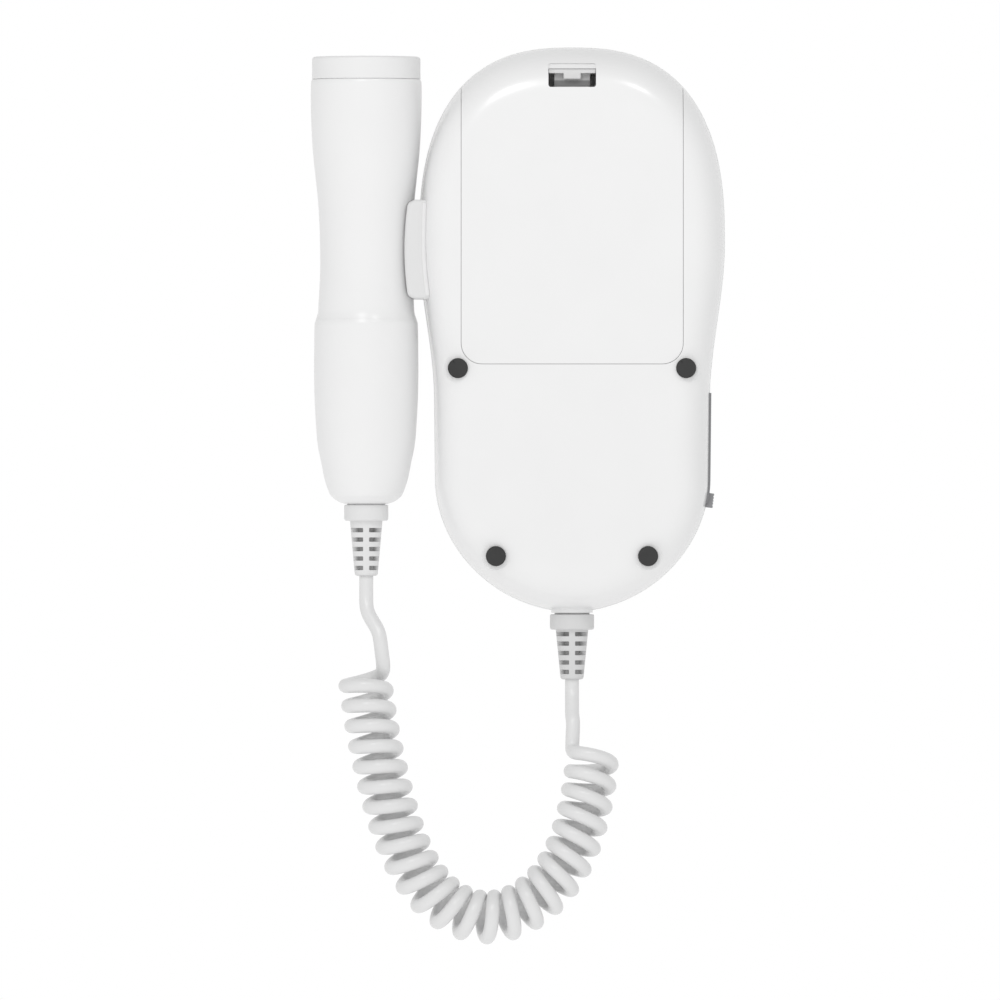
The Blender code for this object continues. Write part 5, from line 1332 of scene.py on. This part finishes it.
def display_finish():
    """The display: a grey-green glass in a dark frame."""
    tree, shader = finish_of("display_glass", (0.30, 0.34, 0.30), 0.18)
    inside = []
    for axis in "xy":
        low, high = getattr(lens_low, axis), getattr(lens_high, axis)
        away = maths(tree, "SUBTRACT", place_along(tree, axis.upper()), (low + high) / 2)
        inside.append(maths(tree, "LESS_THAN", maths(tree, "ABSOLUTE", away), (high - low) / 2 - LCD_MARGIN))
    tint = ramp(tree, noise(tree, object_place(tree), 4000.0, 1.0),
                (0.285, 0.325, 0.285), (0.315, 0.355, 0.315))
    shown = mixed(tree, maths(tree, "MULTIPLY", *inside), (0.035, 0.035, 0.038), tint)
    feed(shader.inputs["Base Color"], shown)


def pane_finish():
    """Clear acrylic with the faintest unevenness in its gloss."""
    tree, shader = finish_of("window_clear", (0.97, 0.98, 0.98), 0.03)
    shader.inputs["Transmission Weight"].default_value = 1.0
    shader.inputs["IOR"].default_value = 1.49
    sheen_spread(tree, shader, 0.02, 0.05, 120.0)


# Putting the pieces together

JACKET_INSET = 0.0022
RING_NEAR = 0.0035
RING_FAR = 0.0095


def dress_object():
    dress(rear_shell(), "rear_shell", "shell_white")
    dress(front_shell(), "front_shell", "shell_white")
    dress(battery_cover(), "battery_cover", "cover_white", "cover")
    latch_finish()
    dress(cover_latch(), "cover_latch", "latch_white", "latch")
    for corner, x, y in foot_places():
        dress(rubber_foot(corner, x, y), f"rubber_foot_{corner}", "foot_rubber")
    dress(side_panel(), "side_panel", "panel_grey")
    dress(volume_knob(), "volume_knob", "knob_grey", "volume_knob")
    dress(headphone_jack(), "headphone_jack", "dark_plastic")
    for name in BUTTONS:
        dress(push_button(name), name, "button_grey", name)
    pane_finish()
    window = dress(display_window(), "display_window", "window_clear")
    window.data.materials.append(surfaces["dark_plastic"])
    dress(probe_upper_tube(JOINT_SEAM_Y + TIGHT_JOINT, CAP_SEAM_Y - HAIRLINE),
          "probe_barrel", "probe_white", "probe")
    dress(probe_lower_tube(PROBE_END_Y, JOINT_SEAM_Y - TIGHT_JOINT), "probe_grip", "probe_white", "probe")
    dress(probe_face_cap(), "probe_face_cap", "cap_white", "probe")
    # Painted shade and painted highlight: the cradle is a darker white than the case, and the top of its bead
    # is lighter, a painted highlight line.
    painted_shade_finish("cradle_white", grey(0.76), grey(0.82), (0.0, 0.0, PART_Z), (0.0, 0.0, 1.0),
           CRADLE_HALF_HEIGHT + CRADLE_BEAD / 8, CRADLE_HALF_HEIGHT + CRADLE_BEAD / 3)
    dress(probe_cradle(), "probe_cradle", "cradle_white")
    for end, body, x, tip, white, sizes in (("main", "root", BODY_X, MAIN_TIP_Y, 0.68, MAIN_RELIEF),
                                            ("probe", "probe", PROBE_X, PROBE_TIP_Y, 0.77, PROBE_RELIEF)):
        # Painted shade: each relief is darker near its axis, on its core and down in its slots; the main
        # relief's outer white is set darker than the probe's.
        painted_shade_finish(f"relief_white_painted_shade_{end}", grey(0.42), grey(white), (x, 0.0, PART_Z), (1.0, 0.0, 1.0),
               RELIEF_CORE_RADIUS, RELIEF_TIP_RADIUS)
        relief = strain_relief(f"{end}_relief_sleeve", tip, x, sizes)
        dress(relief, f"{end}_strain_relief", f"relief_white_painted_shade_{end}", body)
    for name in CELL_SIDES:
        dress(battery_spring(name), f"battery_spring_{name}", "contact_steel")


def free_cord():
    """The curly cord between the unit and the probe, as one tube."""
    points = cord_line()
    cord = tube_along("curly_cord", points, CORD_RADIUS, CORD_SIDES)
    cord.data.materials.append(surfaces["cord_white"])
    cord.data.shade_smooth()
    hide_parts("cord_lead_main", "cord_curls", "cord_lead_probe")
    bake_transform(cord)


def finish_carried():
    """Better materials for the CAD pieces that keep their own shape."""
    display_finish()
    finishes = {"case_screw": "screw_steel", "battery_plate": "contact_steel",
                "volume_slider_pot": "pot_steel",
                "speaker": "dark_plastic", "power_switch": "dark_plastic", "mode_switch": "dark_plastic",
                "main_board": "board_green", "probe_board": "board_green", "probe_backing": "backing_grey",
                "crystal": "crystal_ceramic", "display_module": "display_glass"}
    for name in CELL_SIDES:
        low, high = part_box(f"battery_cell_{name}")
        ring = (high.y - RING_FAR, high.y - RING_NEAR)
        if name == "middle":
            ring = (low.y + RING_NEAR, low.y + RING_FAR)
        cell_finish(f"cell_jacket_{name}", low.y + JACKET_INSET, high.y - JACKET_INSET, *ring)
        finishes[f"battery_cell_{name}"] = f"cell_jacket_{name}"
    for name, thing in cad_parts.items():
        for start, surface in finishes.items():
            if name.startswith(start):
                for place in thing.material_slots:
                    place.material = surfaces[surface]


# Stage, light and camera

FLOOR_SIZE = 6.0
CAMERA_DISTANCE = 4.8
CAMERA_LENS = 720.0
VIEW_SIDE = 0.01728
VIEW_DROP = 0.10896
SKY_LEVEL = 0.745
SKY_GLOSS = 0.85
SKY_LEAN = (0.05, -0.25, -0.21)
LIGHTS_AIM = (0.0, -0.02, PART_Z)
GLEAM_DISTANCE = 0.9
KEY_SIZE = 0.7


def stage():
    """A pale floor, seen and shadowed only from above."""
    half = FLOOR_SIZE / 2
    corners = [(-half, -half, 0.0), (half, -half, 0.0), (half, half, 0.0), (-half, half, 0.0)]
    mesh = bpy.data.meshes.new("floor")
    mesh.from_pydata(corners, [], [(0, 1, 2, 3)])
    floor = object_from("floor", mesh)
    tree, shader = finish_of("floor_paper", grey(0.86), 0.9)
    side = node_of(tree, "NewGeometry").outputs["Backfacing"]
    clear = node_of(tree, "BsdfTransparent").outputs[0]
    feed(tree.nodes["Material Output"].inputs["Surface"], mixed_shader(tree, side, shader.outputs[0], clear))
    mesh.materials.append(surfaces["floor_paper"])
    floor.visible_shadow = False
    floor.visible_diffuse = False
    floor.visible_glossy = False
    floor.visible_transmission = False


def surroundings():
    """White to the camera; as a source of light, brighter below the floor than above it or at the top end."""
    world = bpy.data.worlds.new("studio")
    bpy.context.scene.world = world
    world.use_nodes = True
    tree = world.node_tree
    white = tree.nodes["Background"]
    feed(white.inputs["Color"], grey(1.0))
    way = node_of(tree, "TexCoord").outputs["Generated"]
    level = maths(tree, "ADD", vector_maths(tree, "DOT_PRODUCT", "Value", way, SKY_LEAN), SKY_LEVEL)
    soft, gloss = [node_of(tree, "Background", {"Color": grey(1.0), "Strength": strength}).outputs[0]
                   for strength in (level, SKY_GLOSS)]
    ray = node_of(tree, "LightPath").outputs
    source = mixed_shader(tree, ray["Is Glossy Ray"], soft, gloss)
    feed(tree.nodes["World Output"].inputs["Surface"],
         mixed_shader(tree, ray["Is Camera Ray"], source, white.outputs[0]))


def lamp(name, place, size, power):
    light = bpy.data.lights.new(name, "AREA")
    light.shape = "SQUARE"
    light.size = size
    light.energy = power
    thing = object_from(name, light)
    thing.location = place
    thing.rotation_euler = (Vector(LIGHTS_AIM) - Vector(place)).to_track_quat("-Z", "Y").to_euler()
    return thing


def lights():
    for name, way, size, power in (("rear_gleam_left", (0.19, 0.565, -0.80), 0.20, 0.84),
                                   ("rear_gleam_right", (-0.26, 0.665, -0.70), 0.07, 0.40)):
        lamp(name, Vector(LIGHTS_AIM) + Vector(way) * GLEAM_DISTANCE, size, power)
    for name, place, power in (("front_key", (0.30, -0.24, 1.00), 2.6),
                               ("front_fill", (-0.45, 0.35, 0.80), 0.7)):
        lamp(name, place, KEY_SIZE, power).visible_glossy = False


def camera():
    """The photograph's view: square on to the rear, from below the floor."""
    lens = bpy.data.cameras.new("camera")
    lens.lens = CAMERA_LENS
    lens.sensor_width = 36.0
    lens.clip_start = 0.01
    lens.clip_end = 20.0
    thing = object_from("camera", lens)
    thing.rotation_euler = (0.0, math.pi, 0.0)
    thing.location = (BODY_X + VIEW_SIDE, TOP_Y - VIEW_DROP, PART_Z - CAMERA_DISTANCE)
    bpy.context.scene.camera = thing


camera()
free_cord()
dress_object()
finish_carried()
stage()
surroundings()
lights()
bpy.context.scene.view_settings.view_transform = "Standard"
